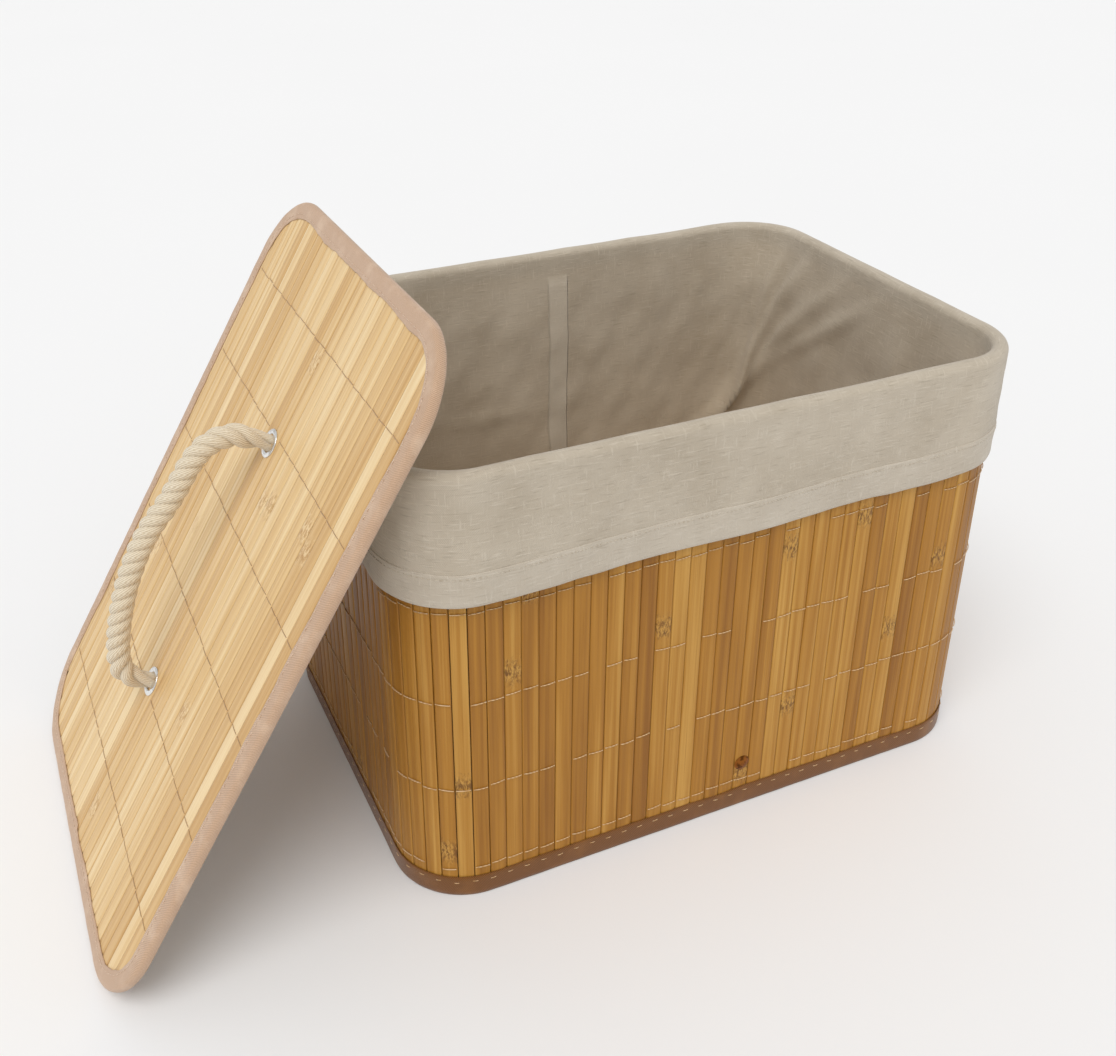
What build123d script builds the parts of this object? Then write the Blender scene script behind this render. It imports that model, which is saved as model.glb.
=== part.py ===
"""Bamboo laundry hamper with a fabric liner and a loose lid that leans on its left rim.

Millimetres, +Z up, +X to the right along the front wall, -Y towards the front. The origin is the
centre of the base board's underside. The lid is drawn flat in its own frame and then leaned.
"""
from build123d import *
from math import acos, cos, degrees, pi, radians, sin, tan
import os

os.makedirs("parts", exist_ok=True)

# ---- Hamper, overall
hamper_length = 400.0        # across the slats' outer faces, left to right
hamper_depth = 280.0         # across the slats' outer faces, front to back
hamper_height = 285.0        # floor to the top of the folded rim
corner_radius = 44.0         # of the slats' outer faces

# ---- Slatted wall: slats outside, a cloth-faced backing behind them
slat_width = 10.4
slat_gap = 0.5
slat_thickness = 2.0
glue_gap = 0.06
backing_thickness = 1.5
thread_row_pitch = 60.0
first_thread_row = 21.0
thread_width = 1.0
thread_thickness = 0.25
thread_standoff = 0.3

# ---- Binding tapes on the wall's top and bottom edges
tape_thickness = 0.6
bottom_tape_height = 14.0
top_tape_leg = 14.0
sewing_clearance = 0.05

# ---- Rim rods, one to each wall, in the hem of the top tape
rod_radius = 2.0
rod_clearance = 0.3          # between a rod and the hem it turns in
rod_end_gap = 4.0
rod_seat = 0.4               # between a rod and the slats' top ends

# ---- Liner, folded over the rim
liner_thickness = 1.2
rim_fold_radius = 5.1        # outside of the fold, about the rod's axis
cuff_depth = 75.0
hem_height = 20.0
hem_thickness = 0.6
liner_floor_clearance = 0.4

# ---- Base board, its hinge strap and the strap's rivet
board_thickness = 4.0
board_clearance = 0.3
strap_thickness = 0.5
strap_length = 250.0
strap_leg = 44.0
strap_reach = 30.0
rivet_slat = 1.5             # slat pitches to the right of the wall's middle
rivet_height = 34.0
rivet_head_radius = 5.3
rivet_head_height = 1.8
rivet_shank_radius = 1.8
rivet_hole_clearance = 0.2
washer_radius = 5.0
washer_thickness = 0.4

# ---- Lid
lid_length = 410.0
lid_depth = 294.0
lid_corner_radius = 47.0
lid_thickness = 6.4
lid_edge_radius = 2.4
lid_tape_thickness = 0.7
lid_tape_width = 11.0
lid_mat_inset = 2.1          # from the lid's edge to the board's and the slats' ends
lid_slat_thickness = 1.9
lid_board_bottom = 0.9
lid_board_thickness = 2.4
lid_lining_thickness = 0.5
lid_thread_rows = 6
lid_thread_pitch = 59.5
lean_angle = 58.84           # between the leaning lid and the floor
lean_clearance = 0.3         # between the lid's underside and the rim it passes over
floor_clearance = 0.2

# ---- Rope handle and its eyelets
eyelet_spacing = 166.0
eyelet_bore = 5.6
eyelet_wall = 0.5
eyelet_flange = 8.8
washer_seat_radius = 9.6
rope_radius = 7.0
rope_neck_radius = 5.2       # where the eyelet squeezes the rope
rope_end_radius = 10.0
rope_board_clearance = 0.3
rope_flange_clearance = 0.3
rope_pivot_gap = 0.3         # between the rope's ends and the handle that swings on them
rope_cut_height = 5.0
handle_route = [(1.0, 0.0), (0.98, 17.0), (0.80, 29.5), (0.40, 30.5), (0.10, 35.5), (-0.30, 33.0),
                (-0.70, 24.0), (-0.97, 13.0), (-1.0, 0.0)]   # share of half the spacing, height


def rounded_plate(length, depth, radius, bottom, thickness):
    """A flat rounded rectangle, its underside at the height bottom."""
    return Pos(0, 0, bottom) * extrude(RectangleRounded(length, depth, radius), thickness)


def band_profile(inner, outer, bottom, top):
    """An upright rectangle, x outwards and y upwards."""
    return Pos((inner + outer) / 2, (bottom + top) / 2) * Rectangle(outer - inner, top - bottom)


def corner_pivot(run, reach, radius):
    """Centre of the corner at the left end of a front side of length run."""
    return (-run / 2 + radius, -reach / 2 + radius)


def turned_corner(profile, run, reach, radius):
    """Turn a profile a quarter round the corner at the left end of a front side."""
    x, y = corner_pivot(run, reach, radius)
    section = Plane(origin=(x, -reach / 2, 0), x_dir=(0, -1, 0), z_dir=(-1, 0, 0)) * profile
    return revolve(section, Axis((x, y, 0), (0, 0, -1)), 90)


def straight_side(profile, run, reach, radius, end_gap=0.0):
    """Carry a profile along the straight of a front side."""
    start = run / 2 - radius - end_gap
    section = Plane(origin=(start, -reach / 2, 0), x_dir=(0, -1, 0), z_dir=(-1, 0, 0)) * profile
    return extrude(section, 2 * start)


def side_frames(length, depth):
    """The four sides, each as its turn about Z, its run and its distance across."""
    for quarter in range(4):
        run, reach = (length, depth) if quarter % 2 == 0 else (depth, length)
        yield Rot(0, 0, -90 * quarter), run, reach


def ring(profile, length, depth, radius):
    """Carry an upright profile once round a rounded rectangle."""
    body = None
    for turn, run, reach in side_frames(length, depth):
        for piece in (straight_side(profile, run, reach, radius), turned_corner(profile, run, reach, radius)):
            body = turn * piece if body is None else body + turn * piece
    return body


def save(name, *solids):
    """Write one node's solids to its own file."""
    pieces = [solid for shape in solids for solid in shape.solids()]
    shape = pieces[0] if len(pieces) == 1 else Compound(pieces)
    export_step(shape, f"parts/{name}.step")


# ---- Flat slats round a corner: their edges lie on the corner's radius, their middles inside it
corner_slat_count = round(corner_radius * pi / 2 / slat_width)
corner_slat_step = 90 / corner_slat_count
corner_slat_width = 2 * tan(radians(corner_slat_step / 2)) * (corner_radius - slat_thickness) - slat_gap
corner_sag = corner_radius - (corner_radius ** 2 - corner_slat_width ** 2 / 4) ** 0.5

# ---- Levels through the wall, as distances outwards from the slats' outer faces
backing_outer = -slat_thickness - corner_sag - glue_gap
backing_inner = backing_outer - backing_thickness
mat_middle = backing_inner / 2
rod_height = hamper_height - rim_fold_radius
mat_bottom = tape_thickness + sewing_clearance
mat_top = rod_height - rod_radius - rod_seat
straight_length = hamper_length - 2 * corner_radius
wall = (hamper_length, hamper_depth, corner_radius)

# ---- Rivet place, through one slat of the front wall
front_slats = round(straight_length / slat_width)
rivet_x = rivet_slat * straight_length / front_slats
rivet_hole_radius = rivet_shank_radius + rivet_hole_clearance
strap_outer = backing_inner - sewing_clearance - tape_thickness - sewing_clearance
strap_inner = strap_outer - strap_thickness


def rivet_disc(radius, outer, inner):
    """A disc on the rivet's axis between two depths in the front wall."""
    face_y = -hamper_depth / 2
    place = Plane(origin=(rivet_x, face_y - outer, rivet_height), x_dir=(1, 0, 0), z_dir=(0, 1, 0))
    return extrude(place * Circle(radius), outer - inner)


# ---- Wall slats
def straight_slats(run, reach):
    """The upright slats along the straight of a front side."""
    straight = run - 2 * corner_radius
    count = round(straight / slat_width)
    pitch = straight / count
    height = mat_top - mat_bottom
    y = -reach / 2 + slat_thickness / 2
    slat = Pos(0, y, mat_bottom + height / 2) * Box(pitch - slat_gap, slat_thickness, height)
    return [Pos((index + 0.5) * pitch - straight / 2, 0, 0) * slat for index in range(count)]


def corner_slats(run, reach):
    """The slats that follow the corner at the left end of a front side."""
    height = mat_top - mat_bottom
    slat = Pos(0, -corner_radius + corner_sag + slat_thickness / 2, mat_bottom + height / 2)
    slat = slat * Box(corner_slat_width, slat_thickness, height)
    x, y = corner_pivot(run, reach, corner_radius)
    turns = [(index + 0.5) * corner_slat_step for index in range(corner_slat_count)]
    return [Pos(x, y, 0) * Rot(0, 0, -angle) * slat for angle in turns]


backing_profile = band_profile(backing_inner, backing_outer, mat_bottom, mat_top)
rod_profile = Pos(mat_middle, rod_height) * Circle(rod_radius)
side_names = ("front", "left", "back", "right")
corner_pieces = []
corner_backings = []
for side_name, (turn, run, reach) in zip(side_names, side_frames(hamper_length, hamper_depth)):
    slats = [turn * slat for slat in straight_slats(run, reach)]
    backing = turn * straight_side(backing_profile, run, reach, corner_radius, sewing_clearance)
    if side_name == "front":
        hole = rivet_disc(rivet_hole_radius, 1.0, backing_inner - 1.0)
        slats = [slat - hole for slat in slats]
        backing = backing - hole
    save(f"{side_name}_wall_slats", *slats)
    save(f"{side_name}_wall_backing", backing)
    save(f"rim_rod_{side_name}", turn * straight_side(rod_profile, run, reach, corner_radius, rod_end_gap))
    corner_pieces += [turn * slat for slat in corner_slats(run, reach)]
    corner_backings.append(turn * turned_corner(backing_profile, run, reach, corner_radius))
save("corner_slats", *corner_pieces)
save("corner_backings", *corner_backings)

# ---- Threads that weave the slats together, one ring to each row
thread_rows = []
row_height = first_thread_row
while row_height < mat_top - top_tape_leg:
    profile = band_profile(thread_standoff, thread_standoff + thread_thickness,
                           row_height - thread_width / 2, row_height + thread_width / 2)
    thread_rows.append(ring(profile, *wall))
    row_height += thread_row_pitch
save("wall_threads", *thread_rows)

# ---- Binding tapes
hem_inner = rod_radius + rod_clearance
hem_outer = hem_inner + tape_thickness
hem_profile = Circle(hem_outer) - Circle(hem_inner)
hem_profile = hem_profile & (Pos(0, hem_outer / 2) * Rectangle(2 * hem_outer, hem_outer))
for hand in (-1, 1):
    leg = Pos(hand * (hem_inner + hem_outer) / 2, -top_tape_leg / 2) * Rectangle(tape_thickness, top_tape_leg)
    hem_profile = hem_profile + leg
save("top_binding", ring(Pos(mat_middle, rod_height) * hem_profile, *wall))

tape_outer = sewing_clearance + tape_thickness
tape_inner = backing_inner - tape_outer
bottom_profile = band_profile(tape_inner, tape_outer, 0, bottom_tape_height)
bottom_profile = bottom_profile - band_profile(backing_inner - sewing_clearance, sewing_clearance,
                                               tape_thickness, bottom_tape_height)
save("bottom_binding", ring(bottom_profile, *wall))

# ---- Base board, strap and rivet
board_inset = -strap_inner + board_clearance
save("base_board", rounded_plate(hamper_length - 2 * board_inset, hamper_depth - 2 * board_inset,
                                 corner_radius - board_inset, 0, board_thickness))
strap_bottom = board_thickness + sewing_clearance
strap_profile = band_profile(strap_inner, strap_outer, strap_bottom, strap_bottom + strap_leg)
strap_profile = strap_profile + band_profile(strap_inner - strap_reach, strap_outer, strap_bottom,
                                             strap_bottom + strap_thickness)
strap = straight_side(strap_profile, strap_length, hamper_depth, 0)
save("base_strap", strap - rivet_disc(rivet_hole_radius, 1.0, strap_inner - 1.0))

washer_outer = strap_inner - sewing_clearance
washer_inner = washer_outer - washer_thickness
save("rivet_washer", rivet_disc(washer_radius, washer_outer, washer_inner)
     - rivet_disc(rivet_hole_radius, 1.0, washer_inner - 1.0))
head_ball = (rivet_head_radius ** 2 + rivet_head_height ** 2) / (2 * rivet_head_height)
head_centre = Pos(rivet_x, -hamper_depth / 2 - rivet_head_height + head_ball, rivet_height)
rivet_head = (head_centre * Sphere(head_ball)) & rivet_disc(2 * rivet_head_radius, rivet_head_height + 1, 0.0)
save("strap_rivet", rivet_head + rivet_disc(rivet_shank_radius, 0.0, washer_inner))

# ---- Liner: the bag inside, the cuff over the rim, the hem band round the cuff
fold_inner = rim_fold_radius - liner_thickness
bag_outer = mat_middle - fold_inner
bag_inner = mat_middle - rim_fold_radius
bag_bottom = strap_bottom + strap_thickness + liner_floor_clearance
bag_shell = rounded_plate(hamper_length + 2 * bag_outer, hamper_depth + 2 * bag_outer,
                          corner_radius + bag_outer, bag_bottom, rod_height - bag_bottom)
bag_hollow = rounded_plate(hamper_length + 2 * bag_inner, hamper_depth + 2 * bag_inner,
                           corner_radius + bag_inner, bag_bottom + liner_thickness, rod_height)
save("liner_bag", bag_shell - bag_hollow)

fold_profile = Circle(rim_fold_radius) - Circle(fold_inner)
fold_profile = fold_profile & (Pos(0, rim_fold_radius / 2) * Rectangle(2 * rim_fold_radius, rim_fold_radius))
cuff_bottom = hamper_height - cuff_depth
cuff_drop = rod_height - cuff_bottom
cuff_profile = Pos(mat_middle, rod_height) * fold_profile
cuff_outer = mat_middle + rim_fold_radius
cuff_profile = cuff_profile + band_profile(mat_middle + fold_inner, cuff_outer, cuff_bottom, rod_height)
save("liner_cuff", ring(cuff_profile, *wall))
save("liner_hem", ring(band_profile(cuff_outer, cuff_outer + hem_thickness, cuff_bottom,
                                    cuff_bottom + hem_height), *wall))

# ---- Lid, drawn flat: its underside on z = 0, its length along x, centred
lid = (lid_length, lid_depth, lid_corner_radius)
lid_face = lid_thickness - lid_tape_thickness - sewing_clearance
lid_slat_bottom = lid_face - lid_slat_thickness
washer_bottom = lid_board_bottom + lid_board_thickness + sewing_clearance
lid_washer_thickness = lid_slat_bottom - washer_bottom - sewing_clearance
eyelets = [Pos(hand * eyelet_spacing / 2, 0, 0) for hand in (-1, 1)]
pivot_height = lid_thickness + rope_flange_clearance + rope_radius


def tube(outer, inner, bottom, top):
    """A round sleeve standing on z = bottom."""
    return Pos(0, 0, bottom) * extrude(Circle(outer) - Circle(inner), top - bottom)


def rod(radius, bottom, top):
    """A round bar standing on z = bottom."""
    return Pos(0, 0, bottom) * extrude(Circle(radius), top - bottom)


mat_length = lid_length - 2 * lid_mat_inset
mat_depth = lid_depth - 2 * lid_mat_inset
mat_radius = lid_corner_radius - lid_mat_inset
lid_board = rounded_plate(mat_length, mat_depth, mat_radius, lid_board_bottom, lid_board_thickness)
lid_mat = rounded_plate(mat_length, mat_depth, mat_radius, lid_slat_bottom, lid_slat_thickness)
for place in eyelets:
    lid_board = lid_board - place * rod(rope_end_radius + rope_board_clearance, 0, lid_thickness)
    lid_mat = lid_mat - place * rod(eyelet_bore + eyelet_wall + rope_board_clearance, 0, lid_thickness)
lid_slat_count = 2 * round(mat_depth / slat_width / 2)
lid_slat_pitch = mat_depth / lid_slat_count
lid_slats = []
for index in range(lid_slat_count):
    blank = Box(mat_length, lid_slat_pitch - slat_gap, lid_thickness)
    y = (index + 0.5) * lid_slat_pitch - mat_depth / 2
    lid_slats.append(lid_mat & Pos(0, y, lid_thickness / 2) * blank)

lining_inset = lid_tape_width + board_clearance
lining_top = lid_board_bottom - sewing_clearance
lid_lining = rounded_plate(lid_length - 2 * lining_inset, lid_depth - 2 * lining_inset,
                           lid_corner_radius - lining_inset, lining_top - lid_lining_thickness,
                           lid_lining_thickness)

tape_middle = Pos(-lid_tape_width, lid_thickness / 2)
tape_profile = tape_middle * RectangleRounded(2 * lid_tape_width, lid_thickness, lid_edge_radius)
tape_hollow = tape_middle * RectangleRounded(2 * (lid_tape_width - lid_tape_thickness),
                                             lid_thickness - 2 * lid_tape_thickness,
                                             lid_edge_radius - lid_tape_thickness)
tape_profile = (tape_profile - tape_hollow) & (Pos(-lid_tape_width / 2, lid_thickness / 2)
                                               * Rectangle(lid_tape_width, lid_thickness))
lid_binding = ring(tape_profile, *lid)

lid_threads = []
thread_length = lid_depth - 2 * (lid_tape_width + board_clearance)
for index in range(lid_thread_rows):
    x = (index - (lid_thread_rows - 1) / 2) * lid_thread_pitch
    height = lid_face + sewing_clearance + thread_thickness / 2
    thread = Pos(x, 0, height) * Box(thread_width, thread_length, thread_thickness)
    for place in eyelets:
        thread = thread - place * rod(eyelet_flange + rope_flange_clearance, 0, 2 * lid_thickness)
    lid_threads.append(thread)

eyelet_top = lid_face + sewing_clearance
eyelet = tube(eyelet_bore + eyelet_wall, eyelet_bore, lid_slat_bottom, lid_thickness)
eyelet = eyelet + tube(eyelet_flange, eyelet_bore, eyelet_top, lid_thickness)
lid_washer = tube(washer_seat_radius, eyelet_bore, washer_bottom, washer_bottom + lid_washer_thickness)
rope_end = rod(rope_end_radius, lid_board_bottom, lid_board_bottom + lid_board_thickness)
rope_end = rope_end + rod(rope_neck_radius, lid_board_bottom, pivot_height)
rope_end = rope_end + Pos(0, 0, pivot_height) * Sphere(rope_radius)

# ---- Rope handle: an arch from one rope end to the other, in the lid's middle plane
route = [(share * eyelet_spacing / 2, height + pivot_height) for share, height in handle_route]
runs = [((b[0] - a[0]) ** 2 + (b[1] - a[1]) ** 2) ** 0.5 for a, b in zip(route, route[1:])]
bend_radii = []
for index in range(1, len(route) - 1):
    (ax, az), (bx, bz), (cx, cz) = route[index - 1:index + 2]
    dot = (bx - ax) * (cx - bx) + (bz - az) * (cz - bz)
    turn_angle = acos(dot / runs[index - 1] / runs[index])
    bend_radii.append(0.45 * min(runs[index - 1], runs[index]) / tan(turn_angle / 2))
print("handle bend radii", [round(radius, 1) for radius in bend_radii])
centre_line = FilletPolyline(*[(x, 0, z) for x, z in route], radius=bend_radii)
rope_section = Plane(origin=centre_line @ 0, z_dir=centre_line % 0) * Circle(rope_radius)
rope_handle = sweep(rope_section, path=centre_line)
print("handle length", round(centre_line.length, 1), "volume share",
      round(rope_handle.volume / (pi * rope_radius ** 2 * centre_line.length), 4))
for place in eyelets:
    rope_handle = rope_handle - place * rod(2 * rope_radius, 0, pivot_height + rope_cut_height)
    rope_handle = rope_handle - place * Pos(0, 0, pivot_height) * Sphere(rope_radius + rope_pivot_gap)

# ---- Lean the lid on the left rim: its underside stays one distance from the left rod's axis
rod_axis_x = -hamper_length / 2 - mat_middle
ride_distance = rim_fold_radius + lean_clearance
lean = radians(lean_angle)
up_lid = (cos(lean), 0, sin(lean))
off_lid = (-sin(lean), 0, cos(lean))
foot_drop = (lid_length / 2 - lid_edge_radius) * sin(lean) - lid_edge_radius * cos(lean) + lid_edge_radius
lid_centre_z = foot_drop + floor_clearance
above_foot = (rod_height + ride_distance * cos(lean) - lid_centre_z) / sin(lean)
lid_centre_x = rod_axis_x - ride_distance * sin(lean) - above_foot * cos(lean)
leaned = Plane(origin=(lid_centre_x, 0, lid_centre_z), x_dir=up_lid, z_dir=off_lid).location

save("lid_core_board", leaned * lid_board)
save("lid_slats", *[leaned * slat for slat in lid_slats])
save("lid_lining", leaned * lid_lining)
save("lid_binding", leaned * lid_binding)
save("lid_threads", *[leaned * thread for thread in lid_threads])
save("lid_eyelets", *[leaned * place * eyelet for place in eyelets])
save("lid_eyelet_washers", *[leaned * place * lid_washer for place in eyelets])
save("rope_ends", *[leaned * place * rope_end for place in eyelets])
save("rope_handle", leaned * rope_handle)

closing_travel = above_foot - rod_axis_x
pivot = (leaned * Pos(0, 0, pivot_height)).position
print("rod axis", (round(rod_axis_x, 3), round(rod_height, 3)))
print("lid axis", [round(value, 6) for value in up_lid], "closing travel", round(closing_travel, 3))
print("travel per radian", round(closing_travel / lean, 4), "lean", round(degrees(lean), 3))
print("handle pivot", [round(value, 3) for value in pivot])
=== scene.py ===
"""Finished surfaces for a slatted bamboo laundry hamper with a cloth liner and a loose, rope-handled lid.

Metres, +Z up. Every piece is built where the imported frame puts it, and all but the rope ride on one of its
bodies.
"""
from __future__ import annotations

import logging
import math
from dataclasses import dataclass
from enum import Enum
from typing import Sequence

import bmesh
import bpy
import numpy as np
from mathutils import Matrix, Vector


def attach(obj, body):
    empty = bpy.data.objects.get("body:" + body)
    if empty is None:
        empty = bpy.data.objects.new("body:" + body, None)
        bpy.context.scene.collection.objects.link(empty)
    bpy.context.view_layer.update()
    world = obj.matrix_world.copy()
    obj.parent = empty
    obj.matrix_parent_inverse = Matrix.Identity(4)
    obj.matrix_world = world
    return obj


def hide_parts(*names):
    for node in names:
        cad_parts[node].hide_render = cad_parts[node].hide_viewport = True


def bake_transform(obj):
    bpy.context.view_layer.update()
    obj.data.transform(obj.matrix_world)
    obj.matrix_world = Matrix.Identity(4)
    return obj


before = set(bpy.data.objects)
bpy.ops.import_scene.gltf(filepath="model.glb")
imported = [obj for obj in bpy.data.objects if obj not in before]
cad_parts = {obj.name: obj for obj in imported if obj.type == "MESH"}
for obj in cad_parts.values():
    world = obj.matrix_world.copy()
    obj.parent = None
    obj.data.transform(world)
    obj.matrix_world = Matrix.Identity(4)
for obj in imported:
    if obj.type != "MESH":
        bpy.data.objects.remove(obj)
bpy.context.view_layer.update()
MM = 0.001
log = logging.getLogger("hamper")

Colour = tuple[float, float, float]
Stops = Sequence[tuple[float, Colour]]


class Body(str, Enum):
    """The moving bodies that pieces ride on."""

    HAMPER = "hamper"
    ROD = "rim_rod"
    LID = "lid"
    HANDLE = "handle"


# ---------------------------------------------------------------- shared shapes


@dataclass(frozen=True)
class RoundedPath:
    """A rounded rectangle centred on the origin, walked anticlockwise from the middle of its left side.

    Attributes:
        length: Size along X.
        depth: Size along Y.
        radius: Corner radius.
    """

    length: float
    depth: float
    radius: float

    @property
    def straight_length(self) -> float:
        """Length of a long side between its corners."""
        return self.length - 2 * self.radius

    @property
    def straight_depth(self) -> float:
        """Length of a short side between its corners."""
        return self.depth - 2 * self.radius

    @property
    def quarter(self) -> float:
        """Length round one corner."""
        return math.pi * self.radius / 2

    @property
    def perimeter(self) -> float:
        """Length once round."""
        return 2 * (self.straight_length + self.straight_depth) + 4 * self.quarter

    def at(self, distance: np.ndarray) -> tuple[np.ndarray, np.ndarray]:
        """Points and outward directions along the path.

        Args:
            distance: Distances walked, in metres.

        Returns:
            Two arrays of X and Y pairs: the points, and the unit directions outwards.
        """
        half_x, half_y = self.length / 2, self.depth / 2
        a, b = half_x - self.radius, half_y - self.radius
        walk = [
            ((-half_x, 0.0), (0.0, -1.0), b), ((-a, -b), 180.0, None),
            ((-a, -half_y), (1.0, 0.0), 2 * a), ((a, -b), 270.0, None),
            ((half_x, -b), (0.0, 1.0), 2 * b), ((a, b), 0.0, None),
            ((a, half_y), (-1.0, 0.0), 2 * a), ((-a, b), 90.0, None),
            ((-half_x, b), (0.0, -1.0), b),
        ]
        distance = np.mod(np.asarray(distance, float), self.perimeter)
        points = np.zeros((len(distance), 2))
        normals = np.zeros((len(distance), 2))
        start = 0.0
        for place, heading, run in walk:
            span = self.quarter if run is None else run
            inside = (distance >= start - 1e-9) & (distance <= start + span + 1e-9)
            along = distance[inside] - start
            if run is None:
                angle = math.radians(heading) + along / self.radius
                outward = np.stack([np.cos(angle), np.sin(angle)], 1)
                points[inside] = np.array(place) + self.radius * outward
            else:
                outward = np.tile((heading[1], -heading[0]), (len(along), 1))
                points[inside] = np.array(place) + along[:, None] * np.array(heading)
            normals[inside] = outward
            start += span
        return points, normals

    def ring(self, count: int) -> np.ndarray:
        """Evenly spaced distances once round, without the repeated last one."""
        return np.arange(count) * self.perimeter / count


def smooth(low: float, high: float, value: np.ndarray) -> np.ndarray:
    """A soft step from 0 at low to 1 at high."""
    t = np.clip((value - low) / (high - low), 0, 1)
    return t * t * (3 - 2 * t)


def bump_at(centre: float, width: float, value: np.ndarray) -> np.ndarray:
    """A soft hump of height 1 about centre."""
    return np.exp(-((value - centre) / width) ** 2)


def waves(seed: int, scale: float, along: np.ndarray, across: np.ndarray, count: int = 9) -> np.ndarray:
    """Smooth repeatable unevenness between about -1 and 1.

    Args:
        seed: Picks the pattern.
        scale: Size of a typical wave in metres.
        along: First coordinate in metres.
        across: Second coordinate in metres.
        count: How many waves are added up.

    Returns:
        The height of the pattern at each point.
    """
    chance = np.random.default_rng(seed)
    total = np.zeros(np.broadcast(along, across).shape)
    for _ in range(count):
        angle = chance.uniform(0, math.pi)
        pitch = 2 * math.pi / (scale * chance.uniform(0.6, 1.8))
        phase = chance.uniform(0, 2 * math.pi)
        total += np.sin(pitch * (along * math.cos(angle) + across * math.sin(angle)) + phase)
    return total / math.sqrt(count) / 1.4


def finish_object(name: str, mesh: bpy.types.Mesh, material: bpy.types.Material) -> bpy.types.Object:
    """Put a mesh in the scene under a name, smooth-shaded, in one material."""
    mesh.materials.clear()
    mesh.materials.append(material)
    mesh.polygons.foreach_set("use_smooth", [True] * len(mesh.polygons))
    piece = bpy.data.objects.new(name, mesh)
    bpy.context.scene.collection.objects.link(piece)
    return piece


def loft(name: str, points: np.ndarray, chart: np.ndarray, material: bpy.types.Material,
         closed_section: bool = False) -> bpy.types.Object:
    """Skin a grid of points that closes on itself from its last column to its first.

    Args:
        name: The piece's name.
        points: Rows by columns by 3, in metres.
        chart: Rows (and one more for a closed section) by columns + 1 by 2: flat coordinates, in metres.
        material: Its finish.
        closed_section: Whether the last row also joins the first.

    Returns:
        The new object.
    """
    rows, columns, _ = points.shape
    last = rows if closed_section else rows - 1
    faces, corners = [], []
    for row in range(last):
        above = (row + 1) % rows
        for column in range(columns):
            beside = (column + 1) % columns
            faces.append((row * columns + column, row * columns + beside,
                          above * columns + beside, above * columns + column))
            corners += [chart[row, column], chart[row, column + 1],
                        chart[row + 1, column + 1], chart[row + 1, column]]
    mesh = bpy.data.meshes.new(name)
    mesh.from_pydata(points.reshape(-1, 3).tolist(), [], faces)
    layer = mesh.uv_layers.new(name="UVMap")
    layer.data.foreach_set("uv", np.array(corners, np.float32).ravel())
    return finish_object(name, mesh, material)


def thicken(piece: bpy.types.Object, thickness: float, offset: float = 0.0) -> None:
    """Give a skin its thickness, baked into its mesh.

    Args:
        piece: The skin.
        thickness: In metres.
        offset: 0 for both ways alike, -1 for inwards only, 1 for outwards only.
    """
    solid = piece.modifiers.new("thickness", "SOLIDIFY")
    solid.thickness = thickness
    solid.offset = offset
    solid.use_even_offset = False
    bake(piece)


def bake(piece: bpy.types.Object) -> None:
    """Turn a piece and its modifiers into a plain mesh."""
    graph = bpy.context.evaluated_depsgraph_get()
    mesh = bpy.data.meshes.new_from_object(piece.evaluated_get(graph), preserve_all_data_layers=True,
                                           depsgraph=graph)
    piece.modifiers.clear()
    old = piece.data
    piece.data = mesh
    mesh.name = piece.name
    bpy.data.meshes.remove(old)


def lathe(name: str, profile: Sequence[tuple[float, float]], place: Matrix, material: bpy.types.Material,
          steps: int = 48) -> bpy.types.Mesh:
    """Turn a closed profile of radius and height once round an axis.

    Args:
        name: The mesh's name.
        profile: Radius and height pairs, anticlockwise.
        place: Where the axis goes.
        material: Its finish.
        steps: Facets round the axis.

    Returns:
        The mesh, in place.
    """
    points, faces = [], []
    count = len(profile)
    for step in range(steps):
        angle = 2 * math.pi * step / steps
        for radius, height in profile:
            spot = Vector((radius * math.cos(angle), radius * math.sin(angle), height))
            points.append(place @ spot)
    for step in range(steps):
        ahead = (step + 1) % steps
        for index in range(count):
            over = (index + 1) % count
            faces.append((step * count + index, ahead * count + index, ahead * count + over,
                          step * count + over))
    mesh = bpy.data.meshes.new(name)
    mesh.from_pydata(points, [], faces)
    mesh.materials.append(material)
    return mesh


# ---------------------------------------------------------------- shader graphs


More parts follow.
